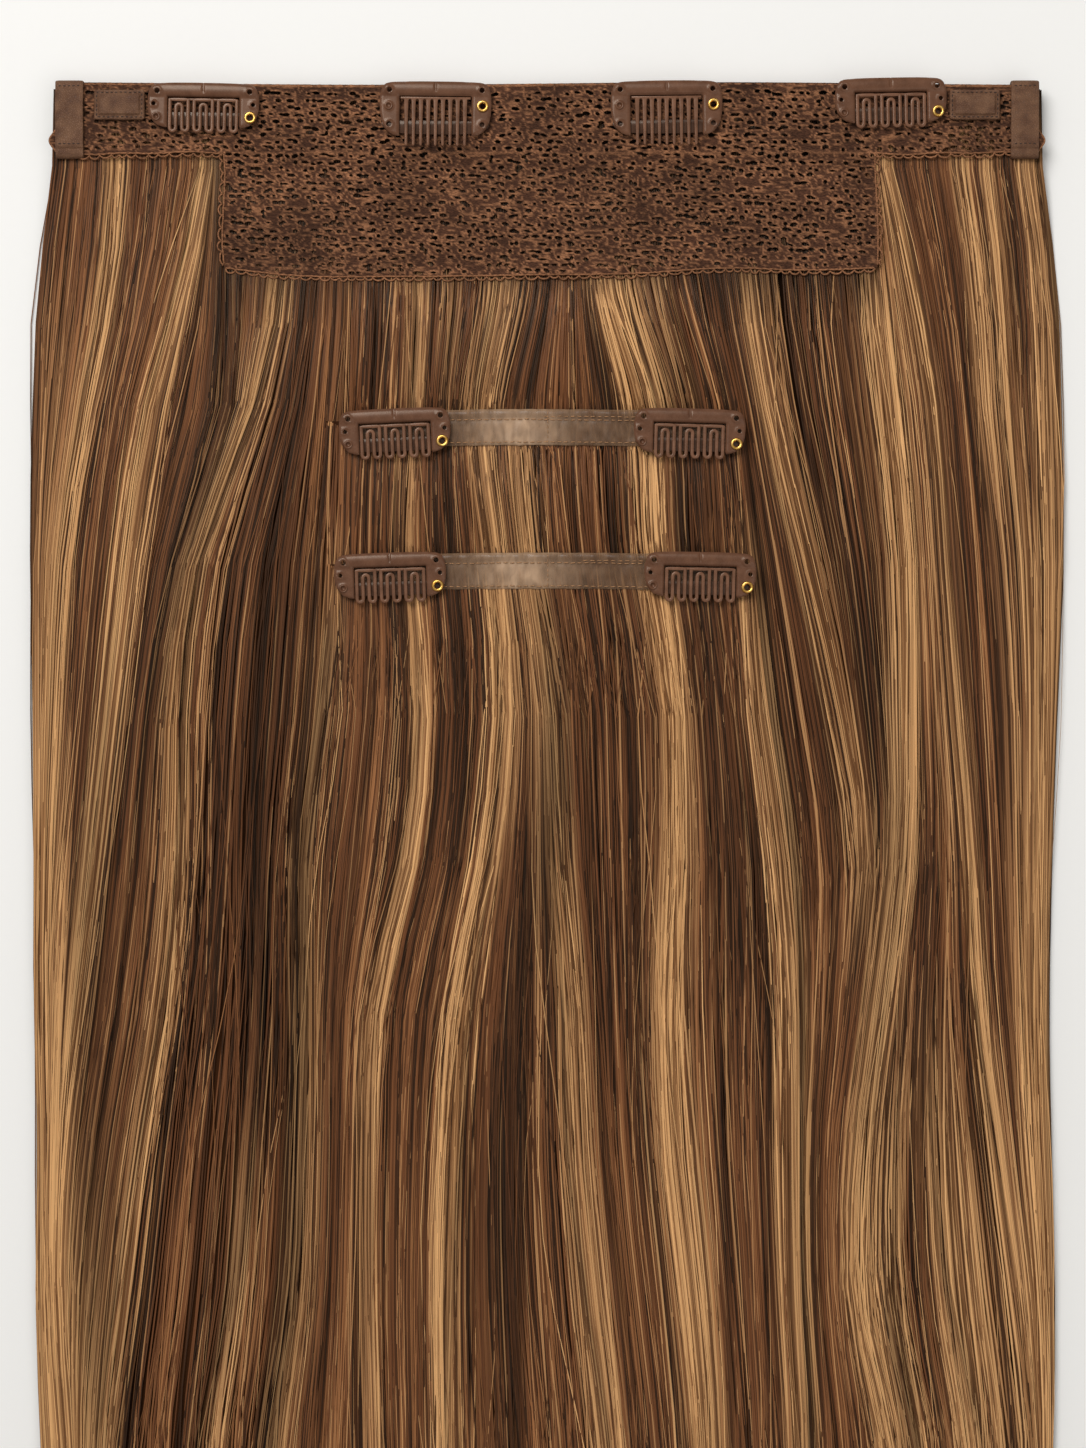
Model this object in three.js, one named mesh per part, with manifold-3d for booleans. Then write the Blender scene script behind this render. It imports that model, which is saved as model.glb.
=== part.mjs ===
// Halo hair extension: a lace band and panel with four snap clips, long hair under them,
// and two short clip rows on clear strips that lie on the hair further down.
// Millimetres. It lies on a flat surface with +Z up and +Y towards the lace base,
// and the origin is on that surface, under the middle of the whole part.
import * as THREE from 'three';
import { mergeVertices } from 'three/addons/utils/BufferGeometryUtils.js';
import Module from 'manifold-3d';

const wasm = await Module();
wasm.setup();

// Clearance between pieces that touch on the real object
const GAP = 0.3;

// Whole part
const TOTAL_LENGTH = 508;
const HAIR_HALF_WIDTH = 148;

// Lace base
const LACE_THICKNESS = 1.0;
const BAND_WIDTH = 283;
const BAND_HEIGHT = 20;
const PANEL_WIDTH = 187;
const PANEL_DROP = 54.5;
const PANEL_TUCK = 12;
const PANEL_OFFSET_SHARE = 0.003;
const PICOT_PITCH = 3.4;
const PICOT_DEPTH = 0.9;
const PICOT_STEPS = 2;
const MESH_HOLE_WIDTH = 1.7;
const MESH_HOLE_HEIGHT = 2.6;
const MESH_HOLE_PITCH = 9;
const BAND_HOLE_DROP = 16;
const PANEL_HOLE_DROPS = [29, 37.5, 46];

// Leather pieces on the band
const LEATHER_THICKNESS = 1.0;
const TAB_WIDTH = 8;
const TAB_HEIGHT = 22.3;
const TAB_INSET = 1;
const PATCH_WIDTH = 14.5;
const PATCH_HEIGHT = 8.6;
const PATCH_BORDER = 1.4;
const PATCH_PAD_RISE = 0.7;
const PATCH_TAB_CLEARANCE = 3.1;
const PATCH_DROP = 6.6;

// Hair, from the surface up: each layer is a backing with locks fused to it
const ROOT_TUCK = 4;
const UNDER_BACKING = 2.2;
const UNDER_LOCK_HEIGHT = 5.2;
const CENTRE_BACKING = 1.6;
const CENTRE_LOCK_HEIGHT = 3.4;
const ROW_SEAT = 0.8;
const ROW_BACKING = 1.4;
const ROW_LOCK_HEIGHT = 2.8;
const LOWER_ROW_SEAT = 0.4;
const VALLEY_RISE = 0.25;
const LOCK_OVERLAP = 0.25;
const LOCK_STEPS = 5;
const BACKING_INSET = 0.6;
const BACKING_SHORTER = 36;
const TIP_TAPER_SHARE = 0.35;
const TIP_STAGGER = 16;
const TIP_STAGGERS = [0.35, 0, 0.7, 0.2, 1, 0.5, 0.85];
const CENTRE_SHORTER = 4;
const UPPER_ROW_SHORTER = 10;
const LOWER_ROW_SHORTER = 14;

// A lock's arched section: where its shoulders lie across its width and how high they rise
const SHOULDER_ACROSS = 0.22;
const SHOULDER_HEIGHT = 0.78;

// Short clip rows
const STRIP_THICKNESS = 1.0;
const STRIP_HEIGHT = 10.3;
const STRIP_WIDTH = 116.5;
const STRIP_ARCH = 1;
const STRIP_STEPS = 6;
const UPPER_ROW_DROP = 93.5;
const LOWER_ROW_DROP = 134.6;
const ROW_HEAD_TUCK = 3;
const ROW_HEAD_FOOT = 2.2;

// The strip's share of the full width of hair that its own row would belong to
const STRIP_SHARE = 0.394;

// Snap clips
const CLIP_WIDTH = 32;
const CLIP_SHEET = 0.8;
const CLIP_TOP_HEIGHT = 3.7;
const CLIP_EAR_WIDTH = 5.7;
const CLIP_CORNER = 2.4;
const CLIP_CROWN = 0.5;
const CLIP_CORNER_STEPS = 2;
const BAR_HEIGHT = 4;
const BAR_INSET = 0.6;
const BAR_THICKNESS = 0.6;
const COMB_ROOT = 1.3;
const COMB_THICKNESS = 0.7;
const TOOTH_COUNT = 9;
const TOOTH_WIDTH = 1.25;
const TOOTH_TIP_WIDTH = 0.8;
const WIRE_WIDTH = 0.9;
const WIRE_LOOPS = 6;
const WIRE_LOW_TOP = 2.2;
const SEWING_HOLE_RADIUS = 0.6;
const SEWING_HOLE_SIDES = 4;
const FASTENER_HOLE_RADIUS = 1.3;
const EYELET_OUTER = 1.75;
const EYELET_BORE = 0.7;
const RIVET_HEAD = 1.5;
const FLANGE_THICKNESS = 0.4;
const ROUND_SIDES = 8;

// The two makes of clip: height of the bent plate, and how far down the comb reaches from its top
const CLIP_MAKES = {
  looped: { height: 12.4, combReach: 13.9, fastenerDrop: 9.4 },
  toothed: { height: 15.2, combReach: 18.0, fastenerDrop: 6.6 },
};

// The outer clips lie beside the patches
const PATCH_CLIP_CLEARANCE = 0.9;

// Clips on the band: place as a share of the outer clips' place, distance below its top edge,
// tilt in degrees
const BASE_CLIPS = [
  { name: 'base_clip_1', make: 'looped', along: -1, drop: 0.9, tilt: -1.0 },
  { name: 'base_clip_2', make: 'toothed', along: -0.324, drop: 0.5, tilt: -0.6 },
  { name: 'base_clip_3', make: 'toothed', along: 0.347, drop: 0.2, tilt: 0.6 },
  { name: 'base_clip_4', make: 'looped', along: 1, drop: -0.6, tilt: 1.0 },
];

// Clips on a strip: place along its half width, distance below its top edge, tilt in degrees
const UPPER_CLIPS = [
  { name: 'upper_left_clip', make: 'looped', along: -0.75, drop: 0.4, tilt: 2.5 },
  { name: 'upper_right_clip', make: 'looped', along: 0.70, drop: 0.4, tilt: -1.5 },
];
const LOWER_CLIPS = [
  { name: 'lower_left_clip', make: 'looped', along: -0.77, drop: 0.5, tilt: 1.8 },
  { name: 'lower_right_clip', make: 'looped', along: 0.75, drop: 0.3, tilt: -1.2 },
];

// Where a parting's columns lie, as shares of the hair's length below its root
const PARTING_DOWN = { root: 0, upper: 0.2, middle: 0.45, lower: 0.72, tip: 1 };

// Partings between locks, from left to right, as shares of the half width of the layer's hair
const LEFT_SIDE_PARTINGS = [
  { root: -0.95, upper: -0.99, middle: -1.00, lower: -0.99, tip: -0.93 },
  { root: -0.89, upper: -0.95, middle: -0.98, lower: -0.98, tip: -0.91 },
  { root: -0.81, upper: -0.88, middle: -0.95, lower: -0.97, tip: -0.89 },
  { root: -0.72, upper: -0.80, middle: -0.91, lower: -0.95, tip: -0.87 },
  { root: -0.64, upper: -0.70, middle: -0.84, lower: -0.92, tip: -0.84 },
  { root: -0.56, upper: -0.61, middle: -0.76, lower: -0.86, tip: -0.78 },
];
const RIGHT_SIDE_PARTINGS = [
  { root: 0.56, upper: 0.60, middle: 0.62, lower: 0.58, tip: 0.60 },
  { root: 0.64, upper: 0.69, middle: 0.73, lower: 0.74, tip: 0.72 },
  { root: 0.73, upper: 0.78, middle: 0.81, lower: 0.84, tip: 0.80 },
  { root: 0.81, upper: 0.86, middle: 0.89, lower: 0.92, tip: 0.87 },
  { root: 0.88, upper: 0.93, middle: 0.95, lower: 0.96, tip: 0.91 },
  { root: 0.95, upper: 0.99, middle: 1.00, lower: 0.99, tip: 0.94 },
];
const CENTRE_PARTINGS = [
  { root: -0.63, upper: -0.65, middle: -0.80, lower: -0.91, tip: -0.84 },
  { root: -0.55, upper: -0.57, middle: -0.71, lower: -0.83, tip: -0.77 },
  { root: -0.45, upper: -0.48, middle: -0.60, lower: -0.69, tip: -0.65 },
  { root: -0.34, upper: -0.38, middle: -0.49, lower: -0.55, tip: -0.53 },
  { root: -0.23, upper: -0.26, middle: -0.34, lower: -0.39, tip: -0.38 },
  { root: -0.11, upper: -0.13, middle: -0.18, lower: -0.22, tip: -0.22 },
  { root: 0.00, upper: 0.00, middle: -0.03, lower: -0.04, tip: -0.05 },
  { root: 0.11, upper: 0.12, middle: 0.12, lower: 0.13, tip: 0.12 },
  { root: 0.22, upper: 0.25, middle: 0.27, lower: 0.28, tip: 0.27 },
  { root: 0.33, upper: 0.36, middle: 0.40, lower: 0.41, tip: 0.40 },
  { root: 0.43, upper: 0.46, middle: 0.50, lower: 0.51, tip: 0.50 },
  { root: 0.54, upper: 0.57, middle: 0.60, lower: 0.59, tip: 0.59 },
  { root: 0.64, upper: 0.67, middle: 0.69, lower: 0.67, tip: 0.67 },
];
const UPPER_ROW_PARTINGS = [
  { root: -0.39, upper: -0.44, middle: -0.49, lower: -0.53, tip: -0.49 },
  { root: -0.28, upper: -0.33, middle: -0.39, lower: -0.42, tip: -0.39 },
  { root: -0.16, upper: -0.20, middle: -0.25, lower: -0.28, tip: -0.27 },
  { root: -0.04, upper: -0.06, middle: -0.11, lower: -0.12, tip: -0.12 },
  { root: 0.07, upper: 0.09, middle: 0.08, lower: 0.08, tip: 0.07 },
  { root: 0.18, upper: 0.22, middle: 0.24, lower: 0.25, tip: 0.23 },
  { root: 0.29, upper: 0.33, middle: 0.37, lower: 0.40, tip: 0.37 },
  { root: 0.38, upper: 0.43, middle: 0.50, lower: 0.52, tip: 0.49 },
];
const LOWER_ROW_PARTINGS = [
  { root: -0.40, upper: -0.42, middle: -0.46, lower: -0.49, tip: -0.46 },
  { root: -0.33, upper: -0.34, middle: -0.40, lower: -0.42, tip: -0.40 },
  { root: -0.23, upper: -0.24, middle: -0.31, lower: -0.33, tip: -0.31 },
  { root: -0.12, upper: -0.13, middle: -0.20, lower: -0.22, tip: -0.21 },
  { root: -0.02, upper: -0.01, middle: -0.04, lower: -0.04, tip: -0.04 },
  { root: 0.09, upper: 0.12, middle: 0.11, lower: 0.13, tip: 0.12 },
  { root: 0.20, upper: 0.24, middle: 0.24, lower: 0.27, tip: 0.25 },
  { root: 0.31, upper: 0.34, middle: 0.36, lower: 0.38, tip: 0.36 },
  { root: 0.40, upper: 0.42, middle: 0.46, lower: 0.48, tip: 0.45 },
];

// Heights above the surface that follow from the layers
const TOP_Y = TOTAL_LENGTH / 2;
const TIP_Y = -TOTAL_LENGTH / 2;
const CENTRE_Z = UNDER_BACKING + GAP;
const PANEL_Z = CENTRE_Z + CENTRE_BACKING + GAP;
const BAND_Z = PANEL_Z + LACE_THICKNESS + GAP;
const BAND_TOP_Z = BAND_Z + LACE_THICKNESS;
const UPPER_ROW_Z = CENTRE_Z + CENTRE_BACKING + ROW_SEAT + GAP;
const UPPER_STRIP_Z = UPPER_ROW_Z + ROW_BACKING + GAP;
const LOWER_ROW_Z = UPPER_ROW_Z + ROW_BACKING + LOWER_ROW_SEAT + GAP;
const LOWER_STRIP_Z = LOWER_ROW_Z + ROW_BACKING + GAP;
const BAND_MIDDLE_Y = TOP_Y + TAB_INSET / 2 - TAB_HEIGHT / 2;

// Places along the band that follow from the pieces beside each other
const PATCH_X = BAND_WIDTH / 2 - TAB_INSET - TAB_WIDTH - PATCH_TAB_CLEARANCE - PATCH_WIDTH / 2;
const OUTER_CLIP_X = PATCH_X - PATCH_WIDTH / 2 - PATCH_CLIP_CLEARANCE - CLIP_WIDTH / 2;
const ROW_HALF_WIDTH = STRIP_WIDTH / 2 / STRIP_SHARE;

const MATERIALS = {
  hair: new THREE.MeshStandardMaterial({ color: 0x6b4a30, roughness: 0.45, metalness: 0 }),
  blond: new THREE.MeshStandardMaterial({ color: 0x9c7448, roughness: 0.45, metalness: 0 }),
  lace: new THREE.MeshStandardMaterial({ color: 0x5e4030, roughness: 0.9, metalness: 0 }),
  leather: new THREE.MeshStandardMaterial({ color: 0x6a4a37, roughness: 0.6, metalness: 0 }),
  strip: new THREE.MeshStandardMaterial({ color: 0xa58d77, roughness: 0.35, metalness: 0 }),
  clip: new THREE.MeshStandardMaterial({ color: 0x5d463b, roughness: 0.35, metalness: 0.6 }),
  brass: new THREE.MeshStandardMaterial({ color: 0xc99a3f, roughness: 0.3, metalness: 1 }),
};

function solidOf(geometry) {
  const bare = geometry.index ? geometry.toNonIndexed() : geometry.clone();
  bare.deleteAttribute('normal');
  bare.deleteAttribute('uv');
  const merged = mergeVertices(bare, 1e-4);
  return new wasm.Manifold(new wasm.Mesh({
    numProp: 3,
    vertProperties: merged.attributes.position.array,
    triVerts: new Uint32Array(merged.index.array),
  }));
}

function geometryOf(solid) {
  const mesh = solid.getMesh();
  const geometry = new THREE.BufferGeometry();
  geometry.setAttribute('position', new THREE.BufferAttribute(mesh.vertProperties, 3));
  geometry.setIndex(new THREE.BufferAttribute(mesh.triVerts, 1));
  geometry.computeVertexNormals();
  return geometry;
}

function namedMesh(name, geometry, material) {
  const mesh = new THREE.Mesh(geometry, material);
  mesh.name = name;
  return mesh;
}

function sheetOf(shape, bottom, thickness) {
  const geometry = new THREE.ExtrudeGeometry(shape, { depth: thickness, bevelEnabled: false });
  return geometry.translate(0, 0, bottom);
}

function boxBetween(low, high) {
  const size = new THREE.Vector3().subVectors(high, low);
  const middle = new THREE.Vector3().addVectors(low, high).multiplyScalar(0.5);
  return new THREE.BoxGeometry(size.x, size.y, size.z).translate(middle.x, middle.y, middle.z);
}

function point(x, y) {
  return new THREE.Vector2(x, y);
}

function polygonPath(centre, radius, sides) {
  const corners = Array.from({ length: sides }, (_, i) => {
    const turn = (i / sides) * Math.PI * 2 + Math.PI / 2;
    return point(centre.x + radius * Math.cos(turn), centre.y + radius * Math.sin(turn));
  });
  return new THREE.Path(corners);
}

// Hair

// The place of a parting at a share of its own curve: how far down, and how far across
function partingAt(parting, layer, step) {
  const columns = Object.keys(PARTING_DOWN);
  const curve = new THREE.SplineCurve(columns.map((key) => point(parting[key], PARTING_DOWN[key])));
  const place = curve.getPoint(step);
  return { x: place.x * layer.halfWidth, y: layer.rootY + (layer.tipY - layer.rootY) * place.y };
}

// Sections run across X with the first edge on the layer's underside, and follow each other down -Y
function loft(sections) {
  const count = sections[0].length;
  const positions = sections.flat().flatMap((p) => [p.x, p.y, p.z]);
  const faces = [];
  for (let s = 0; s < sections.length - 1; s += 1) {
    for (let i = 0; i < count; i += 1) {
      const a = s * count + i;
      const b = s * count + ((i + 1) % count);
      faces.push(a, b, b + count, a, b + count, a + count);
    }
  }
  const last = (sections.length - 1) * count;
  for (let i = 1; i < count - 1; i += 1) {
    faces.push(0, i + 1, i);
    faces.push(last, last + i, last + i + 1);
  }
  const geometry = new THREE.BufferGeometry();
  geometry.setAttribute('position', new THREE.Float32BufferAttribute(positions, 3));
  geometry.setIndex(faces);
  return geometry;
}

// One arched cross-section of a lock, from its underside's left corner
function lockSection(left, right, y, base, valley, crown) {
  const width = right - left;
  const shoulder = valley + (crown - valley) * SHOULDER_HEIGHT;
  return [
    new THREE.Vector3(left, y, base),
    new THREE.Vector3(right, y, base),
    new THREE.Vector3(right, y, valley),
    new THREE.Vector3(right - width * SHOULDER_ACROSS, y, shoulder),
    new THREE.Vector3(left + width / 2, y, crown),
    new THREE.Vector3(left + width * SHOULDER_ACROSS, y, shoulder),
    new THREE.Vector3(left, y, valley),
  ];
}

// A lock fills the space between two partings, and its tapered tip stops short by its own stagger
function lockBetween(leftParting, rightParting, layer, index) {
  const stagger = TIP_STAGGER * TIP_STAGGERS[index % TIP_STAGGERS.length];
  const valley = layer.base + layer.backing + VALLEY_RISE;
  const sections = [];
  for (let step = 0; step <= LOCK_STEPS; step += 1) {
    const left = partingAt(leftParting, layer, step / LOCK_STEPS);
    const right = partingAt(rightParting, layer, step / LOCK_STEPS);
    const atTip = step === LOCK_STEPS;
    const tapered = atTip ? TIP_TAPER_SHARE : 1;
    const y = left.y + (atTip ? stagger : 0);
    const middle = (left.x + right.x) / 2;
    const half = ((right.x - left.x) / 2 + LOCK_OVERLAP) * tapered;
    const crown = valley + (layer.base + layer.lockHeight - valley) * tapered;
    sections.push(lockSection(middle - half, middle + half, y, layer.base, valley, crown));
  }
  return solidOf(loft(sections));
}

// The outline from the first parting to the last, grown by a margin, down to a foot above the tips
function layerOutline(leftParting, rightParting, layer, margin, foot) {
  const edge = (parting, side) => {
    const points = [];
    for (let step = 0; step <= LOCK_STEPS; step += 1) {
      const place = partingAt(parting, layer, step / LOCK_STEPS);
      points.push(point(place.x + side * margin, place.y));
    }
    points[0].y += margin;
    const end = points.at(-1);
    const before = points.at(-2);
    end.lerp(before, foot / (before.y - end.y));
    return points;
  };
  return new THREE.Shape([...edge(leftParting, -1), ...edge(rightParting, 1).reverse()]);
}

function hairLayer(layer) {
  const groups = layer.groups;
  const first = groups[0][0];
  const last = groups.at(-1).at(-1);
  const outline = layerOutline(first, last, layer, -BACKING_INSET, BACKING_SHORTER);
  let solid = solidOf(sheetOf(outline, layer.base, layer.backing));
  for (const partings of groups) {
    for (let i = 0; i < partings.length - 1; i += 1) {
      solid = solid.add(lockBetween(partings[i], partings[i + 1], layer, i));
    }
  }
  return solid;
}

// Takes away what rises into the layer above, which lies flat from its own base up
function clearedFor(solid, layer) {
  const groups = layer.groups;
  const margin = GAP + LOCK_OVERLAP;
  const outline = layerOutline(groups[0][0], groups.at(-1).at(-1), layer, margin, -margin);
  return solid.subtract(solidOf(sheetOf(outline, layer.base - GAP, UNDER_LOCK_HEIGHT)));
}

// Takes away what rises above a height, between two distances below the band's top edge
function flattened(solid, halfWidth, fromDrop, toDrop, height) {
  const low = new THREE.Vector3(-halfWidth, TOP_Y - toDrop, height);
  const high = new THREE.Vector3(halfWidth, TOP_Y - fromDrop, height + UNDER_LOCK_HEIGHT);
  return solid.subtract(solidOf(boxBetween(low, high)));
}

const LAYERS = {
  under: {
    groups: [LEFT_SIDE_PARTINGS, RIGHT_SIDE_PARTINGS],
    halfWidth: HAIR_HALF_WIDTH,
    base: 0,
    backing: UNDER_BACKING,
    lockHeight: UNDER_LOCK_HEIGHT,
    rootY: TOP_Y - ROOT_TUCK,
    tipY: TIP_Y,
  },
  centre: {
    groups: [CENTRE_PARTINGS],
    halfWidth: HAIR_HALF_WIDTH,
    base: CENTRE_Z,
    backing: CENTRE_BACKING,
    lockHeight: CENTRE_LOCK_HEIGHT,
    rootY: TOP_Y - BAND_HEIGHT + PANEL_TUCK,
    tipY: TIP_Y + CENTRE_SHORTER,
  },
  upper: {
    groups: [UPPER_ROW_PARTINGS],
    halfWidth: ROW_HALF_WIDTH,
    base: UPPER_ROW_Z,
    backing: ROW_BACKING,
    lockHeight: ROW_LOCK_HEIGHT,
    rootY: TOP_Y - UPPER_ROW_DROP - ROW_HEAD_TUCK,
    tipY: TIP_Y + UPPER_ROW_SHORTER,
  },
  lower: {
    groups: [LOWER_ROW_PARTINGS],
    halfWidth: ROW_HALF_WIDTH,
    base: LOWER_ROW_Z,
    backing: ROW_BACKING,
    lockHeight: ROW_LOCK_HEIGHT,
    rootY: TOP_Y - LOWER_ROW_DROP - ROW_HEAD_TUCK,
    tipY: TIP_Y + LOWER_ROW_SHORTER,
  },
};

function tabSlotHeight() {
  return TAB_HEIGHT - 2 * LEATHER_THICKNESS;
}

function hairUnder() {
  const cleared = clearedFor(hairLayer(LAYERS.under), LAYERS.centre);
  const underTabs = BAND_Z - GAP - LEATHER_THICKNESS - GAP;
  return flattened(cleared, HAIR_HALF_WIDTH, 0, TAB_HEIGHT + GAP, underTabs);
}

function hairCentre() {
  const cleared = clearedFor(hairLayer(LAYERS.centre), LAYERS.upper);
  return flattened(cleared, HAIR_HALF_WIDTH, 0, PANEL_DROP + PICOT_DEPTH + GAP, PANEL_Z - GAP);
}

function rowHead(solid, drop, stripZ) {
  const reach = CLIP_MAKES.looped.combReach + ROW_HEAD_FOOT;
  return flattened(solid, HAIR_HALF_WIDTH, drop, drop + reach, stripZ - GAP);
}

function hairUpperRow() {
  const cleared = clearedFor(hairLayer(LAYERS.upper), LAYERS.lower);
  return rowHead(cleared, UPPER_ROW_DROP, UPPER_STRIP_Z);
}

function hairLowerRow() {
  return rowHead(hairLayer(LAYERS.lower), LOWER_ROW_DROP, LOWER_STRIP_Z);
}

function hairMeshes() {
  return [
    namedMesh('hair_under', geometryOf(hairUnder()), MATERIALS.blond),
    namedMesh('hair_centre', geometryOf(hairCentre()), MATERIALS.hair),
    namedMesh('hair_upper_row', geometryOf(hairUpperRow()), MATERIALS.blond),
    namedMesh('hair_lower_row', geometryOf(hairLowerRow()), MATERIALS.hair),
  ];
}

// Lace

// Points of a row of small scallops from one corner to the next, bulging to the right of the way
function picotEdge(from, to) {
  const way = new THREE.Vector2().subVectors(to, from);
  const count = Math.max(1, Math.round(way.length() / PICOT_PITCH));
  const out = point(way.y, -way.x).normalize().multiplyScalar(PICOT_DEPTH);
  const points = [];
  for (let i = 0; i < count * PICOT_STEPS; i += 1) {
    const bulge = Math.sin(((i % PICOT_STEPS) / PICOT_STEPS) * Math.PI);
    const place = from.clone().addScaledVector(way, i / (count * PICOT_STEPS));
    points.push(place.addScaledVector(out, bulge));
  }
  return points;
}

function lozengePath(x, y) {
  const half = MESH_HOLE_WIDTH / 2;
  const tall = MESH_HOLE_HEIGHT / 2;
  return new THREE.Path([point(x, y + tall), point(x - half, y), point(x, y - tall), point(x + half, y)]);
}

function holeRow(left, right, y, shifted) {
  const count = Math.floor((right - left) / MESH_HOLE_PITCH) - (shifted ? 1 : 0);
  const start = (left + right - (count - 1) * MESH_HOLE_PITCH) / 2;
  return Array.from({ length: count }, (_, i) => lozengePath(start + i * MESH_HOLE_PITCH, y));
}

// The band narrows where the leather tabs are folded round its ends
function laceBand() {
  const half = BAND_WIDTH / 2;
  const neck = half - TAB_INSET - TAB_WIDTH - GAP;
  const narrow = tabSlotHeight() / 2 - GAP;
  const bottom = TOP_Y - BAND_HEIGHT;
  const shape = new THREE.Shape([
    point(half, BAND_MIDDLE_Y + narrow),
    point(neck, BAND_MIDDLE_Y + narrow),
    point(neck, TOP_Y),
    point(-neck, TOP_Y),
    point(-neck, BAND_MIDDLE_Y + narrow),
    point(-half, BAND_MIDDLE_Y + narrow),
    point(-half, BAND_MIDDLE_Y - narrow),
    point(-neck, BAND_MIDDLE_Y - narrow),
    ...picotEdge(point(-neck, bottom), point(neck, bottom)),
    point(neck, bottom),
    point(neck, BAND_MIDDLE_Y - narrow),
    point(half, BAND_MIDDLE_Y - narrow),
  ]);
  shape.holes.push(...holeRow(-neck, neck, TOP_Y - BAND_HOLE_DROP, false));
  return namedMesh('lace_band', sheetOf(shape, BAND_Z, LACE_THICKNESS), MATERIALS.lace);
}

function lacePanel() {
  const middle = PANEL_OFFSET_SHARE * BAND_WIDTH;
  const left = middle - PANEL_WIDTH / 2;
  const right = middle + PANEL_WIDTH / 2;
  const top = TOP_Y - BAND_HEIGHT + PANEL_TUCK;
  const seam = TOP_Y - BAND_HEIGHT - PICOT_PITCH;
  const bottom = TOP_Y - PANEL_DROP;
  const shape = new THREE.Shape([
    point(right, top),
    point(left, top),
    ...picotEdge(point(left, seam), point(left, bottom)),
    ...picotEdge(point(left, bottom), point(right, bottom)),
    ...picotEdge(point(right, bottom), point(right, seam)),
    point(right, seam),
  ]);
  PANEL_HOLE_DROPS.forEach((drop, i) => {
    shape.holes.push(...holeRow(left, right, TOP_Y - drop, i % 2 === 1));
  });
  return namedMesh('lace_panel', sheetOf(shape, PANEL_Z, LACE_THICKNESS), MATERIALS.lace);
}

// Leather

// A strap folded right round the band's end: a flat ring whose slot holds the band
function endTab(name, side) {
  const x = side * (BAND_WIDTH / 2 - TAB_INSET - TAB_WIDTH / 2);
  const tall = TAB_HEIGHT / 2;
  const slot = tabSlotHeight() / 2;
  const low = BAND_Z - GAP - LEATHER_THICKNESS;
  const high = BAND_TOP_Z + GAP + LEATHER_THICKNESS;
  const wide = TAB_WIDTH / 2;
  const outer = boxBetween(
    new THREE.Vector3(x - wide, BAND_MIDDLE_Y - tall, low),
    new THREE.Vector3(x + wide, BAND_MIDDLE_Y + tall, high),
  );
  const inner = boxBetween(
    new THREE.Vector3(x - wide - 1, BAND_MIDDLE_Y - slot, BAND_Z - GAP),
    new THREE.Vector3(x + wide + 1, BAND_MIDDLE_Y + slot, BAND_TOP_Z + GAP),
  );
  const ring = solidOf(outer).subtract(solidOf(inner));
  return namedMesh(name, geometryOf(ring), MATERIALS.leather);
}

// A stitched patch with a raised pad inside its border
function patch(name, side) {
  const x = side * PATCH_X;
  const y = TOP_Y - PATCH_DROP;
  const low = BAND_TOP_Z + GAP;
  const top = low + LEATHER_THICKNESS;
  const wide = PATCH_WIDTH / 2;
  const tall = PATCH_HEIGHT / 2;
  const plate = boxBetween(
    new THREE.Vector3(x - wide, y - tall, low),
    new THREE.Vector3(x + wide, y + tall, top),
  );
  const pad = boxBetween(
    new THREE.Vector3(x - wide + PATCH_BORDER, y - tall + PATCH_BORDER, low),
    new THREE.Vector3(x + wide - PATCH_BORDER, y + tall - PATCH_BORDER, top + PATCH_PAD_RISE),
  );
  return namedMesh(name, geometryOf(solidOf(plate).add(solidOf(pad))), MATERIALS.leather);
}

// Clear strips of the short rows

function strip(name, drop, z) {
  const half = STRIP_WIDTH / 2;
  const archAt = (x) => STRIP_ARCH * (1 - (x / half) ** 2);
  const top = [];
  const bottom = [];
  for (let i = 0; i <= STRIP_STEPS; i += 1) {
    const x = half - (i / STRIP_STEPS) * STRIP_WIDTH;
    top.push(point(x, TOP_Y - drop - STRIP_ARCH + archAt(x)));
    bottom.push(point(-x, TOP_Y - drop - STRIP_ARCH - STRIP_HEIGHT + archAt(x)));
  }
  return namedMesh(name, sheetOf(new THREE.Shape([...top, ...bottom]), z, STRIP_THICKNESS), MATERIALS.strip);
}

// Snap clips, each in its own frame: X along it, +Y to its back, Z = 0 on what it is sewn to,
// and Y = 0 at the middle of its back edge

const BAR_Z = GAP;
const PLATE_Z = BAR_Z + BAR_THICKNESS + GAP;
const PLATE_TOP_Z = PLATE_Z + CLIP_SHEET;
const WINDOW_HALF = CLIP_WIDTH / 2 - CLIP_EAR_WIDTH;

// Places of the holes in an ear: distance from its outer end, and share of the ear's height
const EAR_HOLES = { inset: 2.6, high: 0.24, low: 0.78 };

function fastenerPlace(make, side) {
  return point(side * (CLIP_WIDTH / 2 - EAR_HOLES.inset), -make.fastenerDrop);
}

function sewingHoles(make, side) {
  const x = side * (CLIP_WIDTH / 2 - EAR_HOLES.inset);
  const shares = [EAR_HOLES.high, EAR_HOLES.low];
  const drops = shares.map((share) => share * make.height);
  const clear = FASTENER_HOLE_RADIUS + 2 * SEWING_HOLE_RADIUS;
  const free = drops.filter((drop) => Math.abs(drop - make.fastenerDrop) > clear);
  return free.map((drop) => polygonPath(point(x, -drop), SEWING_HOLE_RADIUS, SEWING_HOLE_SIDES));
}

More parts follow.
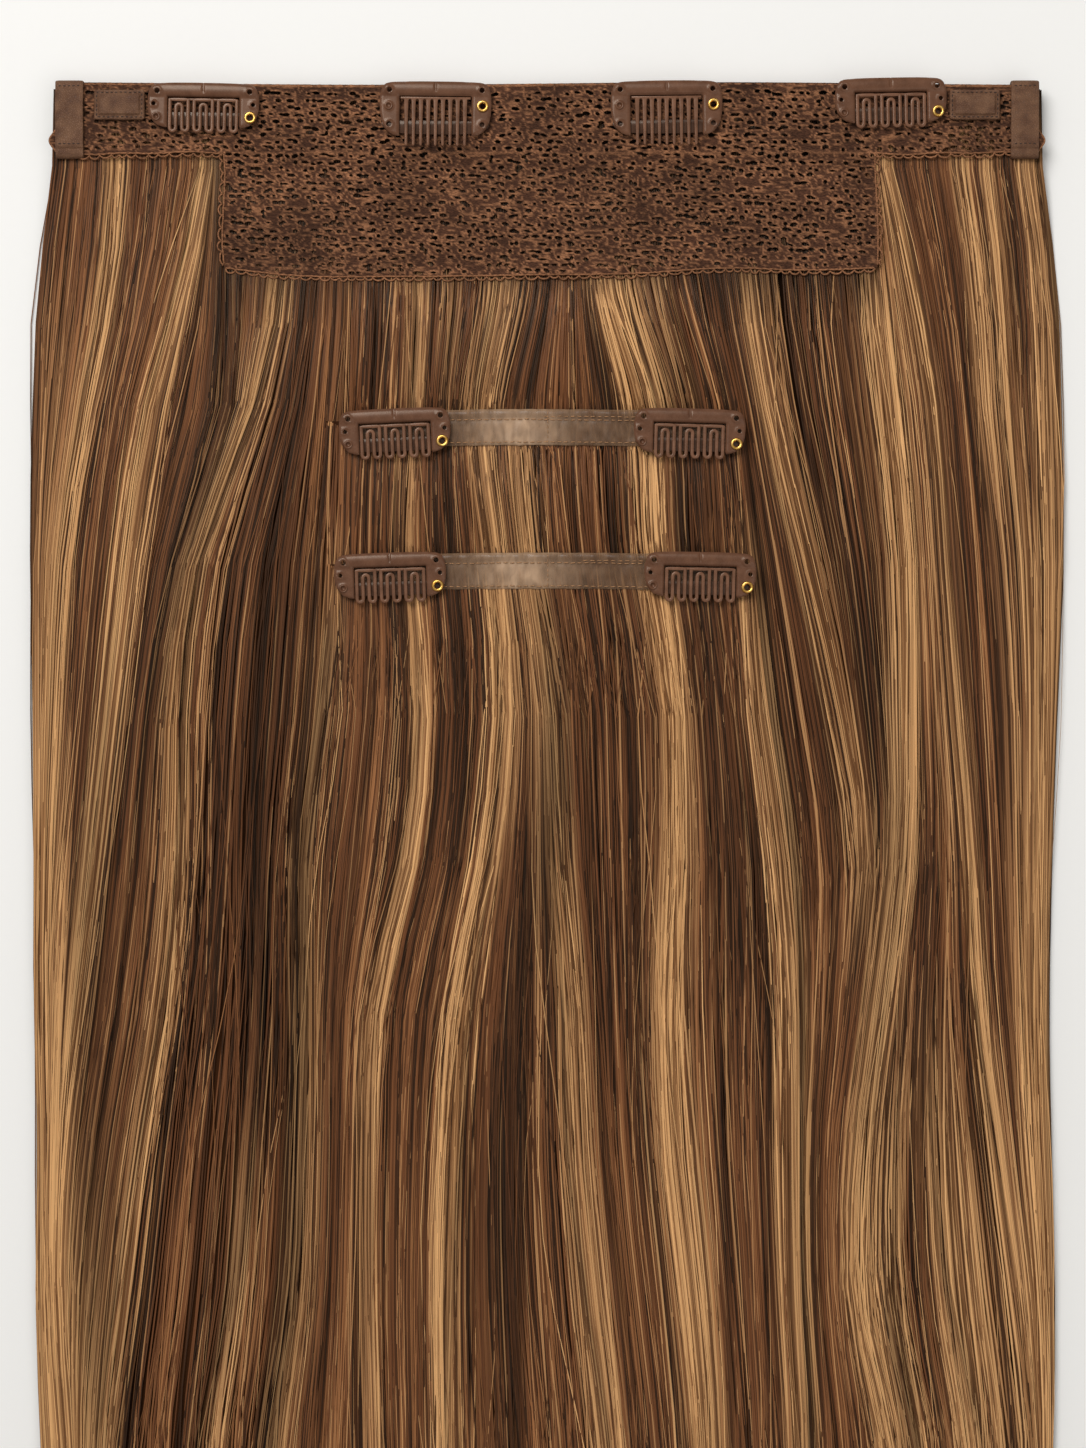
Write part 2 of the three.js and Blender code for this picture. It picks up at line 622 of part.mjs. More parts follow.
// The bent plate: a back rail that crowns a little, and an ear down each side of the window
function clipPlate(make) {
  const half = CLIP_WIDTH / 2;
  const shape = new THREE.Shape();
  shape.moveTo(-half, -make.height + CLIP_CORNER / 2);
  shape.lineTo(-half, -CLIP_CORNER);
  shape.quadraticCurveTo(-half, 0, -half + CLIP_CORNER, 0);
  shape.lineTo(0, CLIP_CROWN);
  shape.lineTo(half - CLIP_CORNER, 0);
  shape.quadraticCurveTo(half, 0, half, -CLIP_CORNER);
  shape.lineTo(half, -make.height + CLIP_CORNER / 2);
  shape.quadraticCurveTo(half, -make.height, half - CLIP_CORNER / 2, -make.height);
  shape.lineTo(WINDOW_HALF, -make.height);
  shape.lineTo(WINDOW_HALF, -CLIP_TOP_HEIGHT);
  shape.lineTo(-WINDOW_HALF, -CLIP_TOP_HEIGHT);
  shape.lineTo(-WINDOW_HALF, -make.height);
  shape.lineTo(-half + CLIP_CORNER / 2, -make.height);
  shape.quadraticCurveTo(-half, -make.height, -half, -make.height + CLIP_CORNER / 2);
  for (const side of [-1, 1]) {
    shape.holes.push(polygonPath(fastenerPlace(make, side), FASTENER_HOLE_RADIUS, ROUND_SIDES));
    shape.holes.push(...sewingHoles(make, side));
  }
  const options = { depth: CLIP_SHEET, bevelEnabled: false, curveSegments: CLIP_CORNER_STEPS };
  return new THREE.ExtrudeGeometry(shape, options).translate(0, 0, PLATE_Z);
}

// The flat bar behind the comb, which the plate snaps down on
function clipBar(make) {
  const half = CLIP_WIDTH / 2 - BAR_INSET;
  return boxBetween(
    new THREE.Vector3(-half, -make.height + BAR_INSET, BAR_Z),
    new THREE.Vector3(half, -make.height + BAR_INSET + BAR_HEIGHT, BAR_Z + BAR_THICKNESS),
  );
}

// Straight teeth below a root that spans the window
function toothedComb(make) {
  const half = WINDOW_HALF - GAP;
  const top = -CLIP_TOP_HEIGHT - GAP;
  const root = top - COMB_ROOT;
  const pitch = (2 * half - TOOTH_WIDTH) / (TOOTH_COUNT - 1);
  const outline = [point(-half, top), point(-half, root)];
  for (let i = 0; i < TOOTH_COUNT; i += 1) {
    const x = -half + TOOTH_WIDTH / 2 + i * pitch;
    if (i > 0) outline.push(point(x - pitch / 2, root + WIRE_WIDTH / 2), point(x - TOOTH_WIDTH / 2, root));
    outline.push(point(x - TOOTH_TIP_WIDTH / 2, -make.combReach));
    outline.push(point(x + TOOTH_TIP_WIDTH / 2, -make.combReach));
    if (i < TOOTH_COUNT - 1) outline.push(point(x + TOOTH_WIDTH / 2, root));
  }
  outline.push(point(half, root), point(half, top));
  return sheetOf(new THREE.Shape(outline), PLATE_Z, COMB_THICKNESS);
}

// The middle line of one flat wire that loops down and up across the window
function wireRoute(make) {
  const half = WINDOW_HALF - GAP - WIRE_WIDTH / 2;
  const legs = 2 * WIRE_LOOPS;
  const pitch = (2 * half) / (legs - 1);
  const high = -CLIP_TOP_HEIGHT - GAP - COMB_ROOT / 2;
  const low = high - WIRE_LOW_TOP;
  const foot = -make.combReach + WIRE_WIDTH / 2;
  const route = [point(-half, high)];
  for (let loop = 0; loop < WIRE_LOOPS; loop += 1) {
    const down = -half + 2 * loop * pitch;
    route.push(point(down, foot), point(down + pitch, foot));
    if (loop < WIRE_LOOPS - 1) {
      const top = loop % 2 === 0 ? low : high;
      route.push(point(down + pitch, top), point(down + 2 * pitch, top));
    }
  }
  route.push(point(half, high));
  return route;
}

// A ribbon of even width along a route of square corners
function ribbonShape(route, width) {
  const sides = [[], []];
  for (let i = 0; i < route.length; i += 1) {
    const before = route[Math.max(i - 1, 0)];
    const after = route[Math.min(i + 1, route.length - 1)];
    const first = new THREE.Vector2().subVectors(route[i], before).normalize();
    const second = new THREE.Vector2().subVectors(after, route[i]).normalize();
    const normal = point(-first.y, first.x).add(point(-second.y, second.x));
    sides[0].push(route[i].clone().addScaledVector(normal, width / 2));
    sides[1].unshift(route[i].clone().addScaledVector(normal, -width / 2));
  }
  return new THREE.Shape([...sides[0], ...sides[1]]);
}

function loopedComb(make) {
  const half = WINDOW_HALF - GAP;
  const top = -CLIP_TOP_HEIGHT - GAP;
  const root = boxBetween(
    new THREE.Vector3(-half, top - COMB_ROOT, PLATE_Z),
    new THREE.Vector3(half, top, PLATE_Z + COMB_THICKNESS),
  );
  const wire = sheetOf(ribbonShape(wireRoute(make), WIRE_WIDTH), PLATE_Z, COMB_THICKNESS);
  return geometryOf(solidOf(root).add(solidOf(wire)));
}

// Round fasteners: a stem in the plate's hole, and a flange that stands on the plate
function turned(profile, place) {
  const outline = profile.map(([radius, height]) => point(radius, height));
  const lathe = new THREE.LatheGeometry(outline, ROUND_SIDES);
  return lathe.rotateX(Math.PI / 2).translate(place.x, place.y, 0);
}

function eyelet(make) {
  const stem = FASTENER_HOLE_RADIUS * Math.cos(Math.PI / ROUND_SIDES) - GAP / 2;
  const seat = PLATE_TOP_Z + GAP;
  const profile = [
    [EYELET_BORE, PLATE_Z],
    [stem, PLATE_Z],
    [stem, seat],
    [EYELET_OUTER, seat],
    [EYELET_OUTER, seat + FLANGE_THICKNESS],
    [EYELET_BORE, seat + FLANGE_THICKNESS],
    [EYELET_BORE, PLATE_Z],
  ];
  return turned(profile, fastenerPlace(make, 1));
}

function rivet(make) {
  const stem = FASTENER_HOLE_RADIUS * Math.cos(Math.PI / ROUND_SIDES) - GAP / 2;
  const seat = PLATE_TOP_Z + GAP;
  const profile = [
    [0, PLATE_Z],
    [stem, PLATE_Z],
    [stem, seat],
    [RIVET_HEAD, seat],
    [RIVET_HEAD, seat + FLANGE_THICKNESS],
    [0, seat + FLANGE_THICKNESS],
  ];
  return turned(profile, fastenerPlace(make, -1));
}

function clip(row, reach, topDrop, z) {
  const make = CLIP_MAKES[row.make];
  const comb = row.make === 'toothed' ? toothedComb(make) : loopedComb(make);
  const group = new THREE.Group();
  group.add(
    namedMesh(row.name + '_plate', clipPlate(make), MATERIALS.clip),
    namedMesh(row.name + '_bar', clipBar(make), MATERIALS.clip),
    namedMesh(row.name + '_comb', comb, MATERIALS.clip),
    namedMesh(row.name + '_eyelet', eyelet(make), MATERIALS.brass),
    namedMesh(row.name + '_rivet', rivet(make), MATERIALS.clip),
  );
  group.position.set(row.along * reach, TOP_Y - topDrop - row.drop, z);
  group.rotation.z = THREE.MathUtils.degToRad(row.tilt);
  return group;
}

const part = new THREE.Group();
part.add(...hairMeshes());
part.add(laceBand(), lacePanel());
part.add(endTab('left_end_tab', -1), endTab('right_end_tab', 1));
part.add(patch('left_patch', -1), patch('right_patch', 1));
part.add(strip('upper_strip', UPPER_ROW_DROP, UPPER_STRIP_Z));
part.add(strip('lower_strip', LOWER_ROW_DROP, LOWER_STRIP_Z));
part.add(...BASE_CLIPS.map((row) => clip(row, OUTER_CLIP_X, 0, BAND_TOP_Z)));
part.add(...UPPER_CLIPS.map((row) => (
  clip(row, STRIP_WIDTH / 2, UPPER_ROW_DROP, UPPER_STRIP_Z + STRIP_THICKNESS)
)));
part.add(...LOWER_CLIPS.map((row) => (
  clip(row, STRIP_WIDTH / 2, LOWER_ROW_DROP, LOWER_STRIP_Z + STRIP_THICKNESS)
)));

// The origin goes under the middle of the part's box
const box = new THREE.Box3().setFromObject(part, true);
const middle = box.getCenter(new THREE.Vector3());
part.position.set(-middle.x, -middle.y, -box.min.z);

export default part;
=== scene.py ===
# Halo hair extension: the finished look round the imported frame.
# A lace base with snap clips, long streaked hair, and two short clip rows, lying on a pale floor.
# Lengths are in millimetres, and become metres where a mesh, lamp or camera is made.
import math

import bmesh
import bpy
import numpy as np
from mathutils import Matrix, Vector


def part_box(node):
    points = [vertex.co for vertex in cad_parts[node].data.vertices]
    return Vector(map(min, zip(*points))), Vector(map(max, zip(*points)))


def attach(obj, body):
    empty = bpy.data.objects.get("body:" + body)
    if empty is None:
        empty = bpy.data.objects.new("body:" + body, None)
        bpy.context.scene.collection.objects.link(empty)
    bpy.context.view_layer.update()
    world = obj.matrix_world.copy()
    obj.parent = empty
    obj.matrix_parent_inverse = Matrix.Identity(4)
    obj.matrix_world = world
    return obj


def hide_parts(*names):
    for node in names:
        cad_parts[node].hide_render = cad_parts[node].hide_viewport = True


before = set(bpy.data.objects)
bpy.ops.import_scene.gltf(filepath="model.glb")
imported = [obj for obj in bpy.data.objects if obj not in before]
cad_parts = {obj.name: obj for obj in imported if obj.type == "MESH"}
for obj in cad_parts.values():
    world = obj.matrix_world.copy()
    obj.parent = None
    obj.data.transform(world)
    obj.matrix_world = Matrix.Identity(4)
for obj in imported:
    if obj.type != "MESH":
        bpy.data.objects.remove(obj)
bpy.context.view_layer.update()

MM = 0.001
ROOT_BODY = "extension"


def box_mm(node):
    low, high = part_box(node)
    return np.array(low) / MM, np.array(high) / MM


BASE_TOP = box_mm("lace_band")[1][1]
FULL_LENGTH = BASE_TOP - box_mm("hair_under")[0][1]


# Small tools

def linear(red, green, blue):
    """An everyday 0 to 255 colour as linear light."""
    channels = []
    for value in (red, green, blue):
        share = value / 255
        channels.append(share / 12.92 if share <= 0.04045 else ((share + 0.055) / 1.055) ** 2.4)
    return np.array(channels)


def smoothstep(low, high, value):
    share = np.clip((value - low) / (high - low), 0, 1)
    return share * share * (3 - 2 * share)


def curve_through(knots, values, at):
    """A smooth curve through values at knots, read at any places; values may hold many rows."""
    knots = np.asarray(knots, float)
    values = np.asarray(values, float)
    slopes = np.gradient(values, knots, axis=-1)
    at = np.clip(at, knots[0], knots[-1])
    left = np.clip(np.searchsorted(knots, at, side="right") - 1, 0, len(knots) - 2)
    span = knots[left + 1] - knots[left]
    t = (at - knots[left]) / span
    start, end = values[..., left], values[..., left + 1]
    out, into = slopes[..., left] * span, slopes[..., left + 1] * span
    return (start * (1 + 2 * t) * (1 - t) ** 2 + out * t * (1 - t) ** 2
            + end * t * t * (3 - 2 * t) + into * t * t * (t - 1))


class Noise:
    """Smooth seeded noise from 0 to 1 over two coordinates."""

    SIZE = 256

    def __init__(self, seed):
        self.grid = np.random.default_rng(seed).random((self.SIZE, self.SIZE))

    def at(self, a, b):
        a, b = np.broadcast_arrays(a, b)
        low_a, low_b = np.floor(a).astype(int), np.floor(b).astype(int)
        fa, fb = a - low_a, b - low_b
        fa, fb = fa * fa * (3 - 2 * fa), fb * fb * (3 - 2 * fb)
        ia, ib = low_a % self.SIZE, low_b % self.SIZE
        ja, jb = (ia + 1) % self.SIZE, (ib + 1) % self.SIZE
        grid = self.grid
        near = grid[ia, ib] * (1 - fa) + grid[ja, ib] * fa
        far = grid[ia, jb] * (1 - fa) + grid[ja, jb] * fa
        return near * (1 - fb) + far * fb


def new_piece(name, shape, material, replaced=(), body=ROOT_BODY, fibres=None, sharp=None):
    """A mesh piece that rides on a body. shape holds points, faces and, if there are any, tones."""
    mesh = bpy.data.meshes.new(name)
    points, faces = np.asarray(shape[0]) * MM, shape[1]
    mesh.from_pydata(points.tolist(), [], faces.tolist() if isinstance(faces, np.ndarray) else faces)
    if len(shape) > 2:
        layer = mesh.color_attributes.new("tone", "FLOAT_COLOR", "POINT")
        rgba = np.concatenate([shape[2], np.ones((len(shape[2]), 1))], axis=1)
        layer.data.foreach_set("color", rgba.astype(np.float32).ravel())
    if fibres is not None:
        layer = mesh.attributes.new("fibre", "FLOAT_VECTOR", "POINT")
        layer.data.foreach_set("vector", fibres.astype(np.float32).ravel())
    mesh.shade_smooth()
    if sharp is not None:
        mesh.set_sharp_from_angle(angle=math.radians(sharp))
    mesh.materials.append(material)
    piece = bpy.data.objects.new(name, mesh)
    bpy.context.scene.collection.objects.link(piece)
    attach(piece, body)
    if replaced:
        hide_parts(*replaced)
    return piece


def xyz(*columns):
    """Points out of their three coordinates, each of which may be one number for all."""
    return np.stack(np.broadcast_arrays(*columns), axis=-1)


def joined(parts):
    """One set of points and faces out of several."""
    points, faces, offset = [], [], 0
    for part in parts:
        points.append(part[0])
        faces += [[corner + offset for corner in face] for face in part[1]]
        offset += len(part[0])
    return np.concatenate(points), faces


def grid_faces(rows, columns, closed=False):
    """Faces of a grid of points, counted row by row; closed joins the last column to the first."""
    index = np.arange(rows * columns).reshape(rows, columns)
    if closed:
        index = np.concatenate([index, index[:, :1]], axis=1)
    a, b, c, d = index[:-1, :-1], index[:-1, 1:], index[1:, 1:], index[1:, :-1]
    return np.stack([a.ravel(), d.ravel(), c.ravel(), b.ravel()], axis=1)


def slab(upper, floor_level):
    """A closed piece: a grid of upper points, walls down from its rim, and a flat underside."""
    rows, columns = upper.shape[:2]
    count = rows * columns
    index = np.arange(count).reshape(rows, columns)
    rim = np.concatenate([index[0, :-1], index[:-1, -1], index[-1, :0:-1], index[:0:-1, 0]])
    following = np.roll(rim, -1)
    faces = grid_faces(rows, columns)[:, ::-1]
    wall = np.stack([following, rim, rim + count, following + count], axis=1)
    top = upper.reshape(-1, 3)
    bottom = top.copy()
    bottom[:, 2] = floor_level
    return np.concatenate([top, bottom]), np.concatenate([faces, faces[:, ::-1] + count, wall])


def spaced(path, count):
    """A path of points, spaced evenly."""
    path = np.asarray(path, float)
    reach = np.concatenate([[0], np.cumsum(np.linalg.norm(np.diff(path, axis=0), axis=1))])
    at = np.linspace(0, reach[-1], count)
    return np.stack([np.interp(at, reach, column) for column in path.T], axis=1)


def full_turn(sides):
    return np.linspace(0, 2 * math.pi, sides, endpoint=False)


def tube(path, radius, sides=6, flat=1.0):
    """A round tube along a path. flat squashes it in height."""
    path = np.asarray(path, float)
    along = np.gradient(path, axis=0)
    along /= np.linalg.norm(along, axis=1, keepdims=True)
    side = np.cross(along, [0, 0, 1.0])
    side /= np.maximum(np.linalg.norm(side, axis=1, keepdims=True), 1e-9)
    up = np.cross(side, along)
    turn = full_turn(sides)
    radius = np.broadcast_to(np.asarray(radius, float), len(path))[:, None, None]
    ring = side[:, None] * np.cos(turn)[None, :, None] + flat * up[:, None] * np.sin(turn)[None, :, None]
    points = (path[:, None] + radius * ring).reshape(-1, 3)
    faces = grid_faces(len(path), sides, closed=True).tolist()
    last = (len(path) - 1) * sides
    faces += [list(range(sides)), [last + sides - 1 - i for i in range(sides)]]
    return points, faces


# Materials

class Look:
    """One material while it is built from shader nodes."""

    def __init__(self, name):
        self.material = bpy.data.materials.new(name)
        self.material.use_nodes = True
        self.nodes = self.material.node_tree.nodes
        self.shader = self.nodes["Principled BSDF"]

    def feed(self, socket, value):
        """Gives a socket another socket's value, or a fixed one."""
        if isinstance(value, bpy.types.NodeSocket):
            self.material.node_tree.links.new(value, socket)
        else:
            socket.default_value = value

    def node(self, kind, **inputs):
        """A new node. An input's name has its spaces written as underscores."""
        node = self.nodes.new("ShaderNode" + kind)
        for name, value in inputs.items():
            self.feed(node.inputs[name.replace("_", " ")], value)
        return node

    def noise(self, vector, scale, detail=2.0, distortion=0.0):
        node = self.node("TexNoise", Vector=vector, Scale=scale, Detail=detail, Distortion=distortion)
        return node.outputs["Fac"]

    def span(self, value, low, high, start=0.0, end=1.0):
        """Maps what lies between start and end onto low to high."""
        node = self.node("MapRange", Value=value, From_Min=start, From_Max=end, To_Min=low, To_Max=high)
        return node.outputs["Result"]

    def mix(self, first, second, factor, blend="MIX"):
        """Mixes two colours; each of the three may be a socket or a fixed value."""
        mix = self.nodes.new("ShaderNodeMix")
        mix.data_type = "RGBA"
        mix.blend_type = blend
        for label, value in (("A", first), ("B", second), ("Factor", factor)):
            socket = [entry for entry in mix.inputs if entry.name == label and entry.enabled][0]
            fixed_colour = label != "Factor" and not isinstance(value, bpy.types.NodeSocket)
            self.feed(socket, (*value, 1) if fixed_colour else value)
        return [entry for entry in mix.outputs if entry.enabled][0]

    def shaded(self, colour, shade):
        return self.mix(colour, shade, 1.0, "MULTIPLY")

    def bump(self, height, distance):
        bump = self.node("Bump", Height=height, Distance=distance * MM, Strength=1.0)
        self.feed(self.shader.inputs["Normal"], bump.outputs["Normal"])

    def place(self, scale=(1, 1, 1)):
        inner = self.node("TexCoord").outputs["Object"]
        return self.node("Mapping", Vector=inner, Scale=scale).outputs["Vector"]

    def attribute(self, name, output):
        node = self.nodes.new("ShaderNodeAttribute")
        node.attribute_name = name
        return node.outputs[output]

    def dressed(self, colour, roughness, gloss=0.5, tint=(1, 1, 1), **others):
        """The finished material."""
        inputs = {"Base Color": colour, "Roughness": roughness, "Specular IOR Level": gloss,
                  "Specular Tint": (*tint, 1), **others}
        for name, value in inputs.items():
            self.feed(self.shader.inputs[name], value)
        return self.material


def hair_material(name, roughness, gloss):
    """Each strand's own colour, varied along its length."""
    look = Look(name)
    fleck = look.noise(look.attribute("fibre", "Vector"), 1.0, detail=3.0)
    tone = look.shaded(look.attribute("tone", "Color"), look.span(fleck, 0.78, 1.26, 0.25, 0.75))
    return look.dressed(tone, roughness, gloss, (1.0, 0.80, 0.62))


def lace_material():
    look = Look("lace_thread")
    place = look.place((0.6, 1.8, 1))
    thread = look.noise(place, 2100, detail=1.0)
    cloth = look.noise(place, 160, detail=3.0)
    tone = look.shaded(look.attribute("tone", "Color"), look.span(thread, 0.55, 1.5, 0.3, 0.7))
    look.bump(thread, 0.18)
    return look.dressed(look.shaded(tone, look.span(cloth, 0.78, 1.22, 0.3, 0.7)), 0.8, 0.12)


def leather_material():
    look = Look("leather_grain")
    place = look.place()
    cells = look.node("TexVoronoi", Vector=place, Scale=1900)
    cells.feature = "DISTANCE_TO_EDGE"
    ridge = cells.outputs["Distance"]
    patchy = look.noise(place, 260, detail=4.0)
    tone = look.mix(linear(92, 62, 44), linear(122, 88, 64), look.span(patchy, 0.0, 1.0, 0.35, 0.7))
    look.bump(look.span(ridge, 0, 1, 0, 0.2), 0.08)
    return look.dressed(look.shaded(tone, look.span(ridge, 0.72, 1.05, 0.0, 0.12)),
                        look.span(patchy, 0.42, 0.62), 0.2)


def thread_material(name, colour):
    look = Look(name)
    twist = look.noise(look.place(), 3000, detail=1.0)
    look.bump(twist, 0.06)
    return look.dressed(look.shaded(colour, look.span(twist, 0.6, 1.5, 0.3, 0.7)), 0.6)


def clip_material(name, dark, light):
    """Brown baked paint on spring steel, with a faint orange peel."""
    look = Look(name)
    place = look.place()
    worn = look.span(look.noise(place, 330, detail=3.0), 0, 1, 0.3, 0.7)
    peel = look.noise(place, 1500, detail=1.0)
    look.bump(peel, 0.003)
    return look.dressed(look.mix(dark, light, worn), look.span(peel, 0.22, 0.32), 0.3, (1.0, 0.86, 0.72))


def brass_material():
    look = Look("brass_polish")
    tarnish = look.noise(look.place(), 900, detail=3.0)
    tone = look.mix(linear(214, 156, 66), linear(250, 208, 122), look.span(tarnish, 0, 1, 0.3, 0.7))
    return look.dressed(tone, look.span(tarnish, 0.2, 0.36), Metallic=1.0)


def strip_material():
    """Clear film over hair: cloudy, creased, with a glossy skin, and a painted glare that lightens it and
    makes it less clear.
    """
    look = Look("clear_film")
    place = look.place((1, 0.5, 1))
    cloudy = look.noise(place, 520, detail=4.0, distortion=0.6)
    crease = look.noise(place, 620, detail=3.0)
    # The tone attribute carries the painted glare.
    glare = look.attribute("tone", "Fac")
    milky_with_painted_glare = look.mix(linear(104, 74, 50), linear(196, 162, 130), glare)
    look.bump(crease, 0.1)
    return look.dressed(look.shaded(milky_with_painted_glare, look.span(cloudy, 0.8, 1.2, 0.3, 0.7)),
                        look.span(crease, 0.18, 0.42), 0.35, Alpha=look.span(glare, 0.45, 0.7))


HAIR_STRANDS = hair_material("hair_strands", 0.36, 0.2)
HAIR_MASS = hair_material("hair_mass", 0.8, 0.04)
LACE = lace_material()
LEATHER = leather_material()
DARK_THREAD = thread_material("dark_thread", linear(44, 27, 17))
LIGHT_THREAD = thread_material("light_thread", linear(158, 116, 78))
CLIP_PAINT = clip_material("clip_paint", linear(88, 57, 40), linear(104, 70, 51))
# The comb's paint is the clip's paint made lighter: a painted highlight on the wires and teeth.
COMB_PAINT_HIGHLIT = clip_material("comb_paint_highlit", linear(96, 64, 46), linear(120, 83, 62))
# The bar's paint is the clip's paint made darker: painted shade behind the comb.
BAR_PAINT_SHADED = clip_material("bar_paint_shaded", linear(62, 39, 27), linear(76, 50, 36))
BRASS = brass_material()
CLEAR_FILM = strip_material()


# Hair: how it flows
# Each row follows one stretch of hair from the base to the tips. Its numbers are places across the
# part, at these distances below the top of the base.

DROPS = (20, 57, 94, 134, 177, 219, 262, 305, 348, 390, 508)
FLOW = {
    "left edge": (-141, -146, -147.5, -148, -147.5, -147, -147, -146, -146.5, -145, -139),
    "A": (-123, -126, -133, -139.5, -142, -143.5, -144, -143, -143, -140.5, -134),
    "B": (-96, -104, -114, -120, -125, -130, -135, -139.5, -140.5, -137.5, -130),
    "left parting": (-93, -92, -93, -105, -113, -117, -122, -129, -133.5, -134.5, -126),
    "C": (-76, -76.5, -84.5, -99.5, -105.5, -106, -110, -117, -122.5, -127.5, -118),
    "D": (-57.5, -57.5, -59, -60.5, -63, -68, -68, -68.5, -70.5, -76.5, -72),
    "E": (-36.5, -36.5, -38, -39.5, -36.5, -39.5, -49.5, -51.5, -51.5, -50, -48),
    "F": (-13.5, -13.5, -19.5, -15.5, -12, -16, -24, -27.5, -29, -28.5, -28),
    "G": (-0.5, -0.5, -7.5, -5.5, 0.5, 2.5, 6.5, 8.5, 12.5, 17.5, 16),
    "H": (16.5, 16.5, 27, 29.5, 36, 36.5, 34.5, 36.5, 41.5, 45, 42),
    "I": (41, 45, 53.5, 57.5, 61, 67, 70.5, 71, 71.5, 73.5, 68),
    "J": (56.5, 58, 63.5, 73, 83, 89.5, 86, 81, 81.5, 86.5, 82),
    "K": (93, 94.5, 98.5, 102.5, 102.5, 101.5, 96, 90.5, 89.5, 98.5, 92),
    "L": (95.5, 104, 110.5, 113.5, 117, 121, 123.5, 129.5, 135.5, 139.5, 130),
    "Q": (117.5, 122.5, 125, 129.5, 132.5, 133.5, 135, 137.5, 141, 142.5, 134),
    "right edge": (141.5, 146, 147.5, 148, 146.5, 145, 144, 144.5, 145.5, 145, 139),
}
LINE = {name: index for index, name in enumerate(FLOW)}
FLOW_ROWS = np.array(list(FLOW.values()))


def flow_across(line, drop):
    """The place across the part of a flow line, which may lie between two named ones."""
    rows = curve_through(DROPS, FLOW_ROWS, drop)
    low = np.clip(np.floor(line).astype(int), 0, len(FLOW) - 2)
    share = line - low
    near = np.take_along_axis(rows, low[None], axis=0)[0]
    far = np.take_along_axis(rows, low[None] + 1, axis=0)[0]
    return near * (1 - share) + far * share


# Hair: its colour
# A row holds the flow line that a blond streak or a dark shade follows, how far beside it that runs, its
# width, drops below the top of the base, and its strength at each drop.

STREAKS = (
    ("left edge", 5, 9, (60, 150, 265, 508), (0.1, 0.3, 0.7, 0.85)),
    ("A", 0, 5.6, (18, 40, 200, 270), (0.7, 0.8, 0.8, 0.5)),
    ("B", 0, 6.2, (18, 40, 290, 508), (0.6, 0.9, 0.85, 0.7)),
    ("C", 0, 6.8, (50, 80, 380, 508), (0.6, 0.8, 0.8, 0.8)),
    ("D", 0, 6.6, (130, 170, 380, 508), (0.0, 0.55, 0.65, 0.7)),
    ("E", 0, 4.4, (52, 90, 150, 200, 330, 508), (0.7, 0.5, 0.5, 0.8, 0.35, 0.5)),
    ("E", 9, 3.0, (55, 85, 100), (0.6, 0.5, 0.0)),
    ("F", 0, 7.6, (52, 90, 120, 150, 380, 508), (0.6, 0.6, 0.4, 0.75, 0.85, 0.8)),
    ("G", 0, 7.4, (95, 130, 150, 380, 508), (0.3, 0.55, 0.6, 0.8, 0.8)),
    ("H", 0, 9.0, (52, 90, 110, 160, 300, 508), (0.8, 0.8, 0.9, 1.0, 0.95, 0.85)),
    ("H", 8, 4.0, (52, 92, 105), (0.65, 0.6, 0.0)),
    ("H", 16, 3.6, (52, 92, 105), (0.5, 0.5, 0.0)),
    ("I", 0, 7.6, (135, 165, 380, 508), (0.2, 0.75, 0.8, 0.8)),
    ("J", 0, 5.4, (55, 80, 210, 250), (0.6, 0.8, 0.8, 0.2)),
    ("J", 5.5, 2.2, (55, 70, 150), (0.5, 0.7, 0.6)),
    ("K", 0, 8.6, (50, 75, 380, 508), (0.7, 0.8, 0.85, 0.85)),
    ("K", 10, 6.0, (270, 310, 508), (0.0, 0.75, 0.75)),
    ("L", 0, 5.8, (18, 110, 150, 180, 508), (0.65, 0.6, 0.4, 0.75, 0.7)),
    ("Q", 0, 4.6, (18, 85, 120, 508), (0.75, 0.7, 0.2, 0.3)),
    ("Q", 8, 4.4, (20, 150, 200), (0.7, 0.75, 0.3)),
    ("right edge", -4, 8.0, (20, 120, 250, 508), (0.4, 0.6, 0.85, 0.9)),
    ("D", -20, 6.0, (290, 330, 508), (0.0, 0.6, 0.7)),
    ("B", 1, 21.0, (290, 350, 508), (0.0, 0.75, 0.9)),
    ("L", -15, 13.0, (260, 330, 508), (0.0, 0.75, 0.85)),
)
BROWN_DARK = linear(42, 24, 13)
BROWN_MID = linear(104, 63, 37)
BROWN_LIGHT = linear(148, 99, 61)
BLOND_DEEP = linear(142, 91, 50)
BLOND_LIGHT = linear(214, 164, 110)
# Strengths of painted shade: below the lace's edge, in partings, and along the SHADES bands.
LACE_SHADE = 1.15
PAINTED_SHADE_STRENGTH = 0.7
SHADE_DARK = 0.62
# Painted shade: dark bands where shadow falls beside the panel's edges and in gaps between streams of hair.
SHADES = (
    ("left parting", 0, 9, (20, 110, 220, 320), (0.9, 0.85, 0.5, 0.1)),
    ("A", 14, 12, (140, 220, 400), (0.0, 0.65, 0.6)),
    ("D", -14, 14, (90, 160, 300), (0.2, 0.65, 0.3)),
    ("F", 16, 11, (130, 200, 330, 420), (0.3, 0.9, 0.8, 0.3)),
    ("J", 10, 9, (100, 170, 300), (0.4, 0.75, 0.3)),
    ("K", -8, 6, (40, 90, 260), (0.8, 0.6, 0.4)),
    ("I", -14, 9, (56, 90, 250), (0.2, 0.5, 0.5)),
)


def streak_strength(streaks, across, drop):
    """How strongly a set of streaks colours the hair there, from 0 to 1."""
    rows = curve_through(DROPS, FLOW_ROWS, drop)
    strength = np.zeros_like(across)
    for line, beside, width, drops, strengths in streaks:
        away = np.abs(across - rows[LINE[line]] - beside) / (width / 2)
        own = np.interp(drop, drops, strengths, left=0, right=0)
        strength = np.maximum(strength, own * (1 - smoothstep(0.5, 1.6, away)))
    return strength


CLUMPS = Noise(11)
DRIFT = Noise(12)


